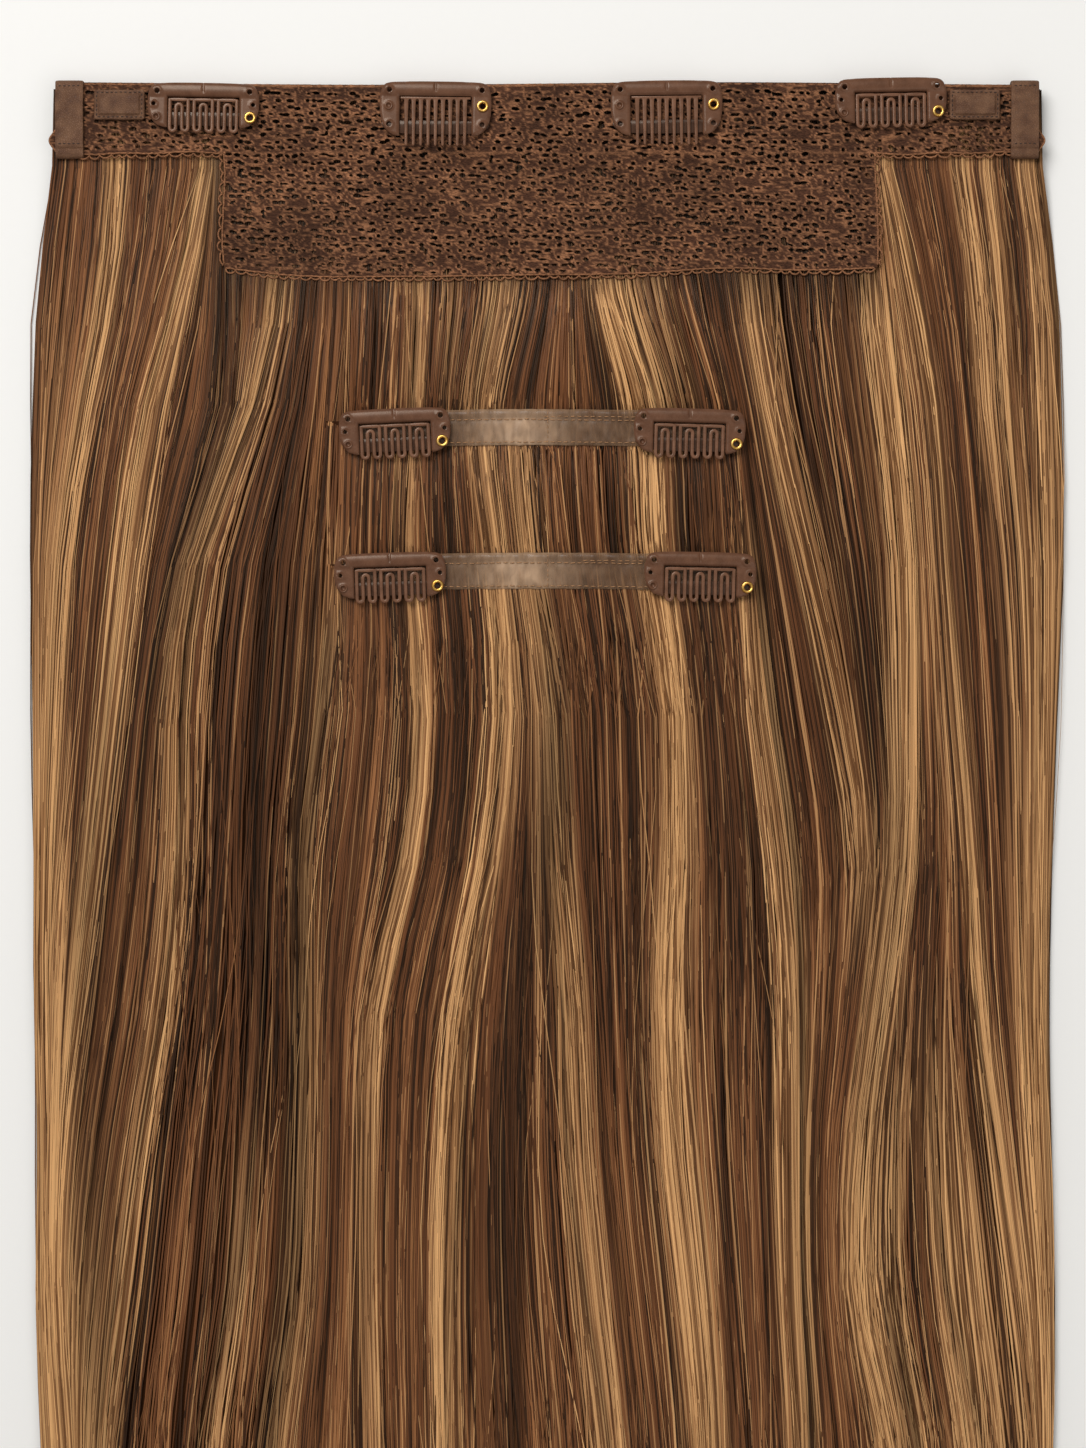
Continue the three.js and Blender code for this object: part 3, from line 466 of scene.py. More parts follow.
def hair_tones(across, drop, line, luck, painted_shade):
    """Colours of hair there. luck is each strand's own number; the last argument is painted shade, near 1 in
    a parting and below the lace's edge.
    """
    blond = streak_strength(STREAKS, across, drop)
    shaded = streak_strength(SHADES, across, drop)
    blond = np.clip(blond * (0.3 + 1.1 * luck) + 0.4 * (luck > 0.93), 0, 1)
    tips = smoothstep(250, 500, drop)
    # The clump noise is partly random tone and partly painted shade that darkens the gaps between clumps of
    # hair.
    clump_tone_and_shade = CLUMPS.at(line * 7, drop * 0.012) * 0.6 + DRIFT.at(line * 19, drop * 0.02) * 0.4
    depth = np.clip(clump_tone_and_shade * 0.8 + 0.9 * (luck - 0.45) + 0.14 * tips, 0, 1)[..., None]
    brown = BROWN_DARK + (BROWN_MID - BROWN_DARK) * smoothstep(0.08, 0.62, depth)
    brown = brown + (BROWN_LIGHT - brown) * smoothstep(0.62, 1.0, depth)
    bright = np.clip(1.25 * depth + 0.3 * (luck[..., None] - 0.5), 0, 1)
    gold = BLOND_DEEP + (BLOND_LIGHT - BLOND_DEEP) * bright
    tone = brown + (gold - brown) * blond[..., None]
    # Painted shade darkens partings, the hair below the lace's edge, and the bands listed in SHADES.
    return tone * (1 - PAINTED_SHADE_STRENGTH * painted_shade[..., None]) * (1 - SHADE_DARK * shaded[..., None])


# Hair: its layers
# lines are places in the flow. rest is how high the top lies in a parting, and rise what a lock
# adds. head is how high the hair is under what covers its root, and clear where it comes out.

LAYER_COLUMNS = ("name", "node", "lines", "root", "base", "rest", "rise", "head", "clear", "edges",
                 "locks", "strands", "strands_from", "seed")
LAYER_ROWS = (
    ("hair_under_left", "hair_under", (0, 3.2), 1.2, 0.1, 2.9, 2.1, 4.9, 21, (5, 6), 8, 1050, 1.2, 1),
    ("hair_under_right", "hair_under", (11.85, 15), 1.2, 0.1, 2.9, 2.1, 4.9, 21, (6, 5), 8, 1050, 1.2, 2),
    ("hair_under_middle", "hair_under", (3.05, 12.0), 1.2, 0.1, 1.7, 0.6, 2.2, 21, (1, 1), 14, 700, 430, 6),
    ("hair_centre", "hair_centre", (2.95, 12.25), 1.2, 2.5, 3.9, 1.9, 3.9, 55, (3, 3), 18, 2100, 1.2, 3),
    ("hair_upper_row", "hair_upper_row", (4.85, 10.15), 96.8, 5.2, 6.2, 1.6, 6.5, 104,
     (4, 4), 11, 1250, 96.8, 4),
    ("hair_lower_row", "hair_lower_row", (4.95, 10.05), 137.8, 7.3, 8.3, 1.6, 8.6, 146,
     (6, 6), 12, 1900, 137.8, 5),
)
LAYERS = [dict(zip(LAYER_COLUMNS, row)) for row in LAYER_ROWS]
COVERED_BY = {
    "hair_centre": {"lines": (4.6, 10.4), "drop": 92},
    "hair_upper_row": {"lines": (4.85, 10.15), "drop": 134},
}
LACE_EDGE_DROP = {"hair_under": 20.5, "hair_centre": 54}
OPENING_RUN = 12
TIP_TAPER = 110
TIP_SPREAD = 26
MASS_SHORT = 24
MASS_RAGGED = 26
MASS_SINK = 0.9
MASS_LUCK = 0.4
MASS_SHADE = 0.34
MASS_UNDER_SHADE = 0.25
MASS_COLUMNS = 130
MASS_ROWS = 34
STRAND_STEP = 23
SHORT_STRAND = 150
SHORT_STEP = 9
STRAND_WIDTH = 0.42
LOOSE_SHARE = 0.07


class Layer:
    """One layer of hair: where its top lies, and where its partings run."""

    def __init__(self, row):
        self.row = row
        self.random = np.random.default_rng(row["seed"])
        self.first, self.last = row["lines"]
        shares = np.linspace(0, 1, row["locks"] + 1)
        shares[1:-1] += self.random.uniform(-0.3, 0.3, row["locks"] - 1) / row["locks"]
        self.partings = self.first + shares * (self.last - self.first)
        self.heights = self.random.uniform(0.6, 1.0, row["locks"])
        self.wander = Noise(100 + row["seed"])

    def lock_at(self, line, drop):
        """How high in its lock a place is, from 0 in a parting to 1 on a crown."""
        sway = (self.wander.at(line * 1.5, drop * 0.007) - 0.5) * 0.3
        place = np.clip(line + sway, self.first, self.last - 1e-6)
        index = np.clip(np.searchsorted(self.partings, place, side="right") - 1, 0, len(self.heights) - 1)
        start, end = self.partings[index], self.partings[index + 1]
        share = (place - start) / (end - start)
        return (1 - np.abs(2 * share - 1) ** 2.2) * self.heights[index]

    def edge_at(self, line, drop):
        """0 at the layer's own sides, rising to 1 a few millimetres in."""
        across = flow_across(line, drop)
        left = flow_across(np.full_like(line, self.first), drop)
        right = flow_across(np.full_like(line, self.last), drop)
        near, far = self.row["edges"]
        share = np.clip(np.minimum((across - left) / near, (right - across) / far), 0, 1)
        return np.sqrt(share * (2 - share))

    def top_at(self, line, drop):
        row = self.row
        open_share = smoothstep(row["clear"], row["clear"] + OPENING_RUN, drop)
        free = 1 - covered_share(row["node"], line, drop)
        fine = self.wander.at(line * 12 + 50, drop * 0.01) * 0.6
        height = row["rest"] + (row["rise"] * self.lock_at(line, drop) + fine) * free
        height = row["head"] + (height - row["head"]) * open_share
        side = row["base"] + 0.25
        end = smoothstep(FULL_LENGTH - TIP_TAPER, FULL_LENGTH, drop)
        edge = self.edge_at(line, drop)
        edge = np.maximum(edge, (1 - open_share) * np.minimum(1, 3 * edge))
        return side + (height - side) * edge * (1 - 0.85 * end)

    # Painted shade: partings between locks, and the hair just below the lace's edge, where shadow falls.
    def painted_shade_at(self, line, drop):
        row = self.row
        open_share = smoothstep(row["clear"], row["clear"] + OPENING_RUN, drop)
        covered = LACE_EDGE_DROP.get(row["node"], 0)
        shade = LACE_SHADE * (1 - smoothstep(covered - 2, covered + 5, drop)) if covered else 0
        return np.maximum((1 - smoothstep(0.0, 0.4, self.lock_at(line, drop))) * open_share * 0.8, shade)


def covered_share(node, line, drop):
    """1 where the next row lies on this layer, 0 where it is free."""
    if node not in COVERED_BY:
        return np.zeros_like(drop)
    first, last = COVERED_BY[node]["lines"]
    start = COVERED_BY[node]["drop"]
    across = smoothstep(first - 0.3, first + 0.3, line) * (1 - smoothstep(last - 0.3, last + 0.3, line))
    return across * smoothstep(start, start + 8, drop)


def hair_mass(layer):
    """The closed body of a layer, which shows between its strands."""
    row = layer.row
    lines = np.linspace(layer.first, layer.last, MASS_COLUMNS)
    ends = FULL_LENGTH - MASS_SHORT - MASS_RAGGED * layer.wander.at(lines * 9, 3.5)
    share = np.linspace(0, 1, MASS_ROWS)[:, None]
    drop = row["root"] + share * (ends - row["root"])
    line = np.broadcast_to(lines, drop.shape)
    across = flow_across(line, drop)
    top = np.maximum(layer.top_at(line, drop) - MASS_SINK, row["base"] + 0.1)
    points, faces = slab(xyz(across, BASE_TOP - drop, top), row["base"])
    luck = np.full_like(drop, MASS_LUCK)
    tones = hair_tones(across, drop, line, luck, layer.painted_shade_at(line, drop)).reshape(-1, 3)
    fibres = xyz(line * 30, drop * 0.02, 0).reshape(-1, 3)
    # Painted shade: the body's colour is darkened, more on its underside, to stand for the shade between
    # strands.
    shape = (points, faces[:, ::-1], np.concatenate([tones * MASS_SHADE, tones * MASS_UNDER_SHADE]))
    return shape, np.concatenate([fibres, fibres])


def strand_ribbons(across, drop, height, width, tones, fibres):
    """Arched ribbons, one for each row of points: two faces wide, so that each catches light."""
    strands, stations = across.shape
    path = xyz(across, BASE_TOP - drop, height)
    along = np.gradient(path, axis=1)
    side = xyz(-along[..., 1], along[..., 0], 0)
    side /= np.linalg.norm(side, axis=-1, keepdims=True)
    half = side * width[..., None] / 2
    crown = path.copy()
    crown[..., 2] += width * 0.4
    points = np.stack([path + half, crown, path - half], axis=2).reshape(-1, 3)
    start = np.arange(strands * stations).reshape(strands, stations)[:, :-1].ravel() * 3
    left = np.stack([start, start + 3, start + 4, start + 1], axis=1)
    right = np.stack([start + 1, start + 4, start + 5, start + 2], axis=1)
    return (points, np.concatenate([left, right]), np.repeat(tones.reshape(-1, 3), 3, axis=0),
            np.repeat(fibres.reshape(-1, 3), 3, axis=0))


def strand_ends(layer, lines):
    """Where each strand starts and stops. A strand that the next row hides stops under it."""
    row = layer.row
    count = len(lines)
    starts = np.full(count, row["strands_from"]) + layer.random.uniform(0, 2, count)
    ends = FULL_LENGTH - 2 - TIP_SPREAD * layer.random.random(count) ** 1.6
    if row["node"] in COVERED_BY:
        first, last = COVERED_BY[row["node"]]["lines"]
        hidden = (lines > first + 0.45) & (lines < last - 0.45)
        under = COVERED_BY[row["node"]]["drop"] + layer.random.uniform(18, 34, count)
        ends = np.where(hidden, under, ends)
    return starts, ends


def strands_along(layer, lines, drop):
    """Strands that keep their own colour while they drift. Loose ones are thin and lie on top."""
    random = layer.random
    count, stations = drop.shape
    each = (count, 1)
    loose = (random.random(each) < LOOSE_SHARE).astype(float)
    luck = random.random(each)
    luck = np.broadcast_to(luck + loose * 0.6 * (1 - luck), drop.shape)
    own_row = random.uniform(0, 200, each)
    share = np.linspace(0, 1, stations)[None]
    clear = smoothstep(0, 0.15, share)
    drifted = (layer.wander.at(own_row, drop * 0.006) - 0.5) * (0.22 + 0.45 * loose) * clear
    line = np.clip(lines[:, None] + drifted, layer.first, layer.last)
    wave = (layer.wander.at(own_row + 77, drop * 0.016) - 0.5) * (0.6 + 2.4 * loose) * clear
    across = flow_across(line, drop) + random.normal(0, 0.25, each) + wave
    dyed = flow_across(np.broadcast_to(lines[:, None], drop.shape), drop) + random.normal(0, 0.8, each)
    height = layer.top_at(line, drop) + random.uniform(-0.3, 0.3, each) + 0.3 * loose * clear
    height = np.maximum(height, layer.row["base"] + 0.15)
    width = STRAND_WIDTH * random.uniform(0.5, 1.4, each) * (1 - 0.45 * loose)
    width = width * (1 - 0.85 * smoothstep(0.9, 1.0, share))
    width = np.broadcast_to(width, drop.shape)
    tones = hair_tones(dyed, drop, line, luck, layer.painted_shade_at(line, drop))
    fibres = xyz(own_row, drop * 0.014, 0)
    return strand_ribbons(across, drop, height, width, tones, fibres)


def layer_strands(layer):
    lines = layer.random.uniform(layer.first, layer.last, layer.row["strands"])
    starts, ends = strand_ends(layer, lines)
    lengths = ends - starts
    groups, offset = [], 0
    for long_ones, step in ((True, STRAND_STEP), (False, SHORT_STEP)):
        chosen = (lengths > SHORT_STRAND) == long_ones
        if not chosen.any():
            continue
        stations = int(lengths[chosen].max() / step) + 2
        drop = starts[chosen, None] + lengths[chosen, None] * np.linspace(0, 1, stations)[None]
        points, faces, tones, fibres = strands_along(layer, lines[chosen], drop)
        groups.append((points, faces + offset, tones, fibres))
        offset += len(points)
    points, faces, tones, fibres = (np.concatenate(parts) for parts in zip(*groups))
    return (points, faces, tones), fibres


def make_hair():
    for row in LAYERS:
        layer = Layer(row)
        shape, fibres = hair_mass(layer)
        new_piece(row["name"] + "_mass", shape, HAIR_MASS, (row["node"],), fibres=fibres)
        shape, fibres = layer_strands(layer)
        new_piece(row["name"] + "_strands", shape, HAIR_STRANDS, fibres=fibres)


# Lace base: one pierced cloth, shaped like a wide T, whose lower edges end in small loops

LACE_PITCH = 0.46
BAND_HALF = 141.5
BAND_DROP = 19.9
PANEL_LEFT = {"drops": (15, 25, 35, 45, 56), "across": (-92.8, -92.2, -92.6, -92.9, -92.0)}
PANEL_RIGHT = {"drops": (15, 25, 35, 45, 56), "across": (93.6, 93.9, 94.4, 94.7, 94.2)}
PANEL_EDGE = {"across": (-94, -74, -42, -8, 27, 50, 75, 96),
              "drops": (52.4, 54.6, 55.0, 54.6, 54.0, 52.6, 53.2, 52.6)}
BAND_LEVEL = 6.3
PANEL_LEVEL = 5.05
LACE_SEED = 21
LACE_DEPTH = 56
NO_HOLE = 3.0
HOLE_DROPS = (2.9, 54)
HOLE_REACH = 138
HOLE_PITCH = (2.7, 1.95)
HOLE_HALF_WIDTH = (0.45, 1.25)
HOLE_HALF_HEIGHT = (0.28, 0.6)
HOLE_CHANCE = 0.86
CORD_RISE = 0.3
LACE_MID = linear(66, 41, 28)
# The colour on the next line is painted shade, laid at the rims of the holes.
LACE_HOLE_SHADE = linear(44, 27, 18)
LACE_CORD = linear(138, 94, 65)
LACE_FOLDS = Noise(22)
LACE_THREADS = Noise(23)
LACE_CLOUDS = Noise(24)


def lace_edge(across):
    return curve_through(PANEL_EDGE["across"], PANEL_EDGE["drops"], across)


def band_edge(across):
    return BAND_DROP + 0.25 * np.sin(across / 7.3) + 0.2 * np.sin(across / 3.1)


def band_end(drop):
    """How far the band reaches to each side: it bulges out below the middle of its end."""
    return BAND_HALF - 1.6 + 2.5 * np.exp(-((drop - 16.3) / 2.7) ** 2)


def lace_inside(across, drop):
    """How far a place is inside the lace's outline."""
    left = curve_through(PANEL_LEFT["drops"], PANEL_LEFT["across"], drop)
    right = curve_through(PANEL_RIGHT["drops"], PANEL_RIGHT["across"], drop)
    panel = np.minimum(lace_edge(across) - drop, np.minimum(across - left, right - across))
    band = np.minimum(band_edge(across) - drop, band_end(drop) - np.abs(across))
    return np.maximum(band, panel)


def lace_holes(across, drop):
    """How far each place is from the nearest hole's rim, less than 0 inside a hole."""
    random = np.random.default_rng(LACE_SEED)
    xs, ds = across[0], drop[:, 0]
    field = np.full(across.shape, NO_HOLE)
    for row, middle_drop in enumerate(np.arange(*HOLE_DROPS, HOLE_PITCH[1])):
        for middle in np.arange(-BAND_HALF + 1, BAND_HALF, HOLE_PITCH[0]):
            x = middle + random.uniform(-1.2, 1.2) + (row % 2) * HOLE_PITCH[0] / 2
            d = middle_drop + random.uniform(-0.5, 0.5)
            half_x = random.uniform(*HOLE_HALF_WIDTH)
            half_y = random.uniform(*HOLE_HALF_HEIGHT)
            turn = random.normal(0, 0.22)
            kept = random.random() < HOLE_CHANCE * (0.55 + 0.8 * LACE_CLOUDS.at(x / 9, d / 5))
            if not kept or abs(x) > HOLE_REACH or lace_inside(x, d) < 0.8:
                continue
            i = slice(*np.searchsorted(xs, (x - 3, x + 3)))
            j = slice(*np.searchsorted(ds, (d - 2.5, d + 2.5)))
            u = (across[j, i] - x) * math.cos(turn) + (drop[j, i] - d) * math.sin(turn)
            v = (drop[j, i] - d) * math.cos(turn) - (across[j, i] - x) * math.sin(turn)
            away = (np.sqrt((u / half_x) ** 2 + (v / half_y) ** 2) - 1) * min(half_x, half_y)
            field[j, i] = np.minimum(field[j, i], away)
    return field


def ridges(noise, a, b, lines):
    """1 along the contour lines of a noise, 0 between them: the run of loose threads."""
    wave = noise.at(a, b) * lines
    return 1 - smoothstep(0.0, 0.18, np.abs(wave - np.round(wave)))


def lace_height(across, drop, holes):
    """Height and cord share of the lace's upper face."""
    inner = smoothstep(-95, -91, across) * (1 - smoothstep(92, 96, across))
    level = BAND_LEVEL - (BAND_LEVEL - PANEL_LEVEL) * smoothstep(17, 27, drop) * inner
    folds = (LACE_FOLDS.at(across / 22 + 9, drop / 11) - 0.5) * (0.25 + 0.75 * smoothstep(22, 30, drop))
    rings = np.exp(-((holes - 0.2) / 0.13) ** 2)
    threads = ridges(LACE_THREADS, across / 4.6, drop / 1.7, 4) * 0.8
    seam = np.exp(-((drop - band_edge(across)) / 0.35) ** 2) * inner * 0.6
    cords = np.clip(np.maximum(np.maximum(rings, threads), seam), 0, 1)
    return level + folds + CORD_RISE * cords, cords


def cut_where(points, quads, field):
    """The triangles of a grid where field is above 0, cut along the line where it is 0."""
    faces = np.concatenate([quads[:, [0, 1, 2]], quads[:, [0, 2, 3]]])
    above = field > 0
    count = above[faces].sum(axis=1)
    mixed = (count == 1) | (count == 2)
    crossed = faces[mixed]
    alone = above[crossed] == (count[mixed] == 1)[:, None]
    turn = (np.argmax(alone, axis=1)[:, None] + np.arange(3)) % 3
    a, b, c = np.take_along_axis(crossed, turn, axis=1).T
    edges = np.sort(np.stack([np.concatenate([a, a]), np.concatenate([b, c])], axis=1), axis=1)
    pairs, place = np.unique(edges, axis=0, return_inverse=True)
    start, end = pairs.T
    share = (field[start] / (field[start] - field[end]))[:, None]
    rim = points[start] + share * (points[end] - points[start])
    place = place.reshape(-1) + len(points)
    ab, ac = place[:len(a)], place[len(a):]
    one = above[a]
    cut = [np.stack([a, ab, ac], axis=1)[one], np.stack([ab, b, c], axis=1)[~one],
           np.stack([ab, c, ac], axis=1)[~one]]
    points = np.concatenate([points, rim])
    faces = np.concatenate([faces[count == 3], *cut])
    used, renamed = np.unique(faces, return_inverse=True)
    return points[used], renamed.reshape(-1, 3)


def lace_cloth():
    xs = np.arange(-BAND_HALF - 1.3, BAND_HALF + 1.5, LACE_PITCH)
    ds = np.arange(0, LACE_DEPTH, LACE_PITCH)
    across, drop = np.meshgrid(xs, ds)
    holes = lace_holes(across, drop)
    height, cords = lace_height(across, drop, holes)
    clouds = LACE_CLOUDS.at(across / 14 + 40, drop / 9)
    weave = (LACE_MID + (LACE_CORD - LACE_MID) * cords[..., None]) * (0.75 + 0.5 * clouds[..., None])
    # Painted shade: the lace darkens at each hole's rim, where shade falls into the hole.
    hole_rim_shade = 1 - smoothstep(0.0, 0.12, holes)
    tones = weave + (LACE_HOLE_SHADE - weave) * (0.8 * hole_rim_shade[..., None])
    top_wave = 0.35 * np.sin(across / 31) * (1 - smoothstep(0, 14, drop))
    forward = BASE_TOP - drop + top_wave - 0.3
    rows = np.concatenate([across[..., None], forward[..., None], height[..., None], tones], axis=-1)
    field = np.minimum(lace_inside(across, drop), holes).ravel()
    rows, triangles = cut_where(rows.reshape(-1, 6), grid_faces(len(ds), len(xs)), field)
    return rows[:, :3], triangles, rows[:, 3:]


PICOT_PITCH = 3.1
PICOT_DEPTH = 1.25
PICOT_RADIUS = 0.27
PICOT_STEP = 0.33
EDGE_CORD = 0.28
HEM_RADIUS = 0.55
WEFT_RADIUS = 0.8
WEFT_BELOW_HEM = np.array([0, 0.5, 1.2])


def picots(path, outward, seed):
    """A cord along a lace edge, with a row of small loops outside it."""
    random = np.random.default_rng(seed)
    length = np.linalg.norm(np.diff(path, axis=0), axis=1).sum()
    count = int(length / PICOT_STEP)
    line = spaced(path, count)
    at = np.linspace(0, length, count)
    knots = [0]
    while knots[-1] < length:
        knots.append(knots[-1] + PICOT_PITCH * random.uniform(0.7, 1.25))
    index = np.clip(np.searchsorted(knots, at, side="right") - 1, 0, len(knots) - 2)
    share = (at - np.take(knots, index)) / (np.take(knots, index + 1) - np.take(knots, index))
    depth = PICOT_DEPTH * random.uniform(0.75, 1.15, len(knots))[index]
    bulge = depth * np.sqrt(np.clip(1 - (2 * share - 1) ** 2, 0, 1))
    along = np.gradient(line, axis=0)
    side = xyz(along[:, 1], -along[:, 0], 0)
    side *= outward / np.linalg.norm(side, axis=1, keepdims=True)
    wobble = line + side * random.normal(0, 0.05, (count, 1))
    return [tube(line + side * bulge[:, None], PICOT_RADIUS, 5), tube(wobble[::2], EDGE_CORD, 5)]


def edge_path(across, drop):
    across, drop = np.broadcast_arrays(np.asarray(across, float), np.asarray(drop, float))
    level = lace_height(across, drop, np.full(across.shape, NO_HOLE))[0]
    return xyz(across, BASE_TOP - drop - 0.3, level - 0.05)


def make_lace():
    cloth = new_piece("lace_base", lace_cloth(), LACE, ("lace_band", "lace_panel"))
    left = np.arange(1.5 - BAND_HALF, PANEL_LEFT["across"][0], 0.5)
    right = np.arange(PANEL_RIGHT["across"][0], BAND_HALF - 1, 0.5)
    middle = np.arange(PANEL_LEFT["across"][-1], PANEL_RIGHT["across"][-1], 0.5)
    down = np.arange(BAND_DROP, 52.4, 0.5)
    side_left = curve_through(PANEL_LEFT["drops"], PANEL_LEFT["across"], down)
    side_right = curve_through(PANEL_RIGHT["drops"], PANEL_RIGHT["across"], down)
    end_drops = np.arange(12.5, 19.6, 0.5)
    edges = (
        (left, band_edge(left), 1),
        (right, band_edge(right), 1),
        (middle, lace_edge(middle), 1),
        (side_left, down, 1),
        (side_right, down, -1),
    )
    parts = []
    for seed, (across, drop, outward) in enumerate(edges, 31):
        parts += picots(edge_path(across, drop), outward, seed)
    for side in (-1, 1):
        parts.append(tube(edge_path(side * (band_end(end_drops) - 0.1), end_drops), PICOT_RADIUS, 5))
    top = np.arange(2.5 - BAND_HALF, BAND_HALF - 2.0, 1.0)
    hem = xyz(top, BASE_TOP - 0.75 + 0.35 * np.sin(top / 31), BAND_LEVEL - HEM_RADIUS)
    parts.append(tube(hem, HEM_RADIUS + 0.06 * np.sin(top * 2.1), 8, flat=1.3))
    parts.append(tube(hem - WEFT_BELOW_HEM, WEFT_RADIUS, 8, flat=1.2))
    points, faces = joined(parts)
    tones = np.broadcast_to(LACE_CORD * 0.9, points.shape)
    edging = new_piece("lace_edging", (points, faces, tones), LACE)


# Stitches

def stitch(x, y, z, angle, length, radius):
    """One stitch of thread: a short bead with sunk ends."""
    along = np.linspace(-0.5, 0.5, 6)
    height = z + radius * 0.4 - radius * 2.2 * np.abs(2 * along) ** 3
    path = xyz(x + along * length * math.cos(angle), y + along * length * math.sin(angle), height)
    return tube(path, radius * (1 - 0.5 * np.abs(2 * along) ** 4), 6)


def stitch_row(path, pitch, length, radius, seed):
    """Stitches along a path of points. Each kind of stitch has its pitch, length and radius."""
    random = np.random.default_rng(seed)
    path = np.asarray(path, float)
    reach = np.linalg.norm(np.diff(path, axis=0), axis=1).sum()
    fine = spaced(path, int(reach / pitch) * 4 + 1)
    parts = []
    for before, here, after in zip(fine[1::4], fine[2::4], fine[3::4]):
        angle = math.atan2(after[1] - before[1], after[0] - before[0]) + random.normal(0, 0.07)
        y = here[1] + random.normal(0, 0.04)
        parts.append(stitch(here[0], y, here[2], angle, length * random.uniform(0.85, 1.1), radius))
    return parts


# Leather: straps folded round the band's ends, and stitched patches beside them

TAB_STITCH = (1.25, 0.85, 0.14)
TAB_ROW_TOP = 1.7
TAB_ROW_FOOT = 1.5
TAB_ROW_END = 0.7
TAB_WIDTH = 8.0
TAB_THICKNESS = 1.0
TAB_LIP = 2.6
TAB_STEP = 0.45
TAB_STATIONS = 150
TAB_SIDES = 28
LEATHER_WAVES = Noise(41)


def strap_section():
    """A rounded flat section: places across the strap, and out of its middle."""
    turn = full_turn(TAB_SIDES)
    wide = np.sign(np.cos(turn)) * np.abs(np.cos(turn)) ** 0.28
    thick = np.sign(np.sin(turn)) * np.abs(np.sin(turn)) ** 0.45
    return wide * TAB_WIDTH / 2, thick * TAB_THICKNESS / 2


def tab_route(low, high):
    """The strap's middle line in the upright plane: down the front, round the foot and up the back."""
    half = TAB_THICKNESS / 2
    top, bottom = high[1] - half, low[1] + half
    front, back = high[2] - half, low[2] + half
    step = bottom + TAB_LIP
    knots = [(top, back + 0.7), (top, front - 0.7), (top - 0.25, front - 0.15), (top - 1.2, front),
             (step + 0.9, front), (step + 0.25, front - 0.08), (step - 0.2, front - TAB_STEP),
             (bottom + 0.9, front - TAB_STEP - 0.05), (bottom + 0.15, front - TAB_STEP - 0.35),
             (bottom, front - 1.2), (bottom, back + 0.7), (bottom + 0.25, back + 0.15), (bottom + 1.2, back),
             (top - 1.2, back), (top - 0.25, back + 0.15)]
    return spaced(knots + knots[:1], TAB_STATIONS + 1)[:-1]


def make_tab(name, seed):
    low, high = box_mm(name)
    route = tab_route(low, high)
    along = np.roll(route, -1, axis=0) - np.roll(route, 1, axis=0)
    along /= np.linalg.norm(along, axis=1, keepdims=True)
    wide, thick = strap_section()
    sway = (LEATHER_WAVES.at(route[:, 0] / 6 + seed, route[:, 1] / 3) - 0.5) * 0.3
    x = (low[0] + high[0]) / 2 + sway[:, None] + wide[None]
    y = route[:, :1] - along[:, 1:] * thick[None]
    z = route[:, 1:] + along[:, :1] * thick[None]
    points = xyz(x, y, z).reshape(-1, 3)
    faces = grid_faces(TAB_STATIONS, TAB_SIDES, closed=True).tolist()
    last = (TAB_STATIONS - 1) * TAB_SIDES
    faces += [[last + i, i, (i + 1) % TAB_SIDES, last + (i + 1) % TAB_SIDES] for i in range(TAB_SIDES)]
    new_piece(name + "_strap", (points, faces), LEATHER, (name,))
    parts = []
    for drop, row_seed in ((high[1] - TAB_ROW_TOP, seed), (low[1] + TAB_LIP + TAB_ROW_FOOT, seed + 1)):
        ends = [(low[0] + TAB_ROW_END, drop, high[2]), (high[0] - TAB_ROW_END, drop, high[2])]
        parts += stitch_row(ends, *TAB_STITCH, row_seed)
    new_piece(name + "_stitches", joined(parts), DARK_THREAD)


PATCH_STITCH = (1.3, 0.8, 0.14)
PATCH_STITCH_INSET = 0.8
PATCH_COLUMNS, PATCH_ROWS = 61, 41
PATCH_BORDER = 1.5
PATCH_BORDER_HEIGHT = 0.95
PATCH_ROUND = 0.5


def make_patch(name, seed):
    low, high = box_mm(name)
    middle, half = (low + high) / 2, (high - low) / 2
    u, v = np.meshgrid(np.linspace(-1, 1, PATCH_COLUMNS), np.linspace(-1, 1, PATCH_ROWS))
    reach = np.maximum(np.abs(u), np.abs(v))
    scale = reach / np.maximum((np.abs(u) ** 14 + np.abs(v) ** 14) ** (1 / 14), 1e-9)
    ragged = 0.12 * (LEATHER_WAVES.at(u * 7 + seed, v * 5) - 0.5) * smoothstep(0.8, 1, reach)
    x = u * scale * (half[0] + ragged)
    y = v * scale * (half[1] + ragged)
    inside = np.minimum(half[0] - np.abs(x), half[1] - np.abs(y))
    border_top = low[2] + PATCH_BORDER_HEIGHT
    pad = smoothstep(PATCH_BORDER - 0.35, PATCH_BORDER + 0.3, inside)
    pillow = np.sqrt(np.clip(inside / half[1], 0, 1)) * 0.12
    crease = (LEATHER_WAVES.at(x / 2.2 + 30, y / 2.2 + seed) - 0.5) * 0.16
    edge = np.clip(inside / PATCH_ROUND, 0, 1)
    z = low[2] + (border_top - low[2]) * (0.35 + 0.65 * np.sqrt(edge * (2 - edge)))
    z = np.minimum(z + pad * (high[2] - border_top - 0.2 + pillow) + crease * edge, high[2])
    shape = slab(xyz(middle[0] + x, middle[1] + y, z), low[2])
    new_piece(name + "_leather", shape, LEATHER, (name,))
    a, b = half[0] - PATCH_STITCH_INSET, half[1] - PATCH_STITCH_INSET
    corners = [(-a, -b), (a, -b), (a, b), (-a, b), (-a, -b)]
    path = [(middle[0] + cx, middle[1] + cy, border_top + 0.02) for cx, cy in corners]
    new_piece(name + "_stitches", joined(stitch_row(path, *PATCH_STITCH, seed)), DARK_THREAD)


# Clear strips of the short rows

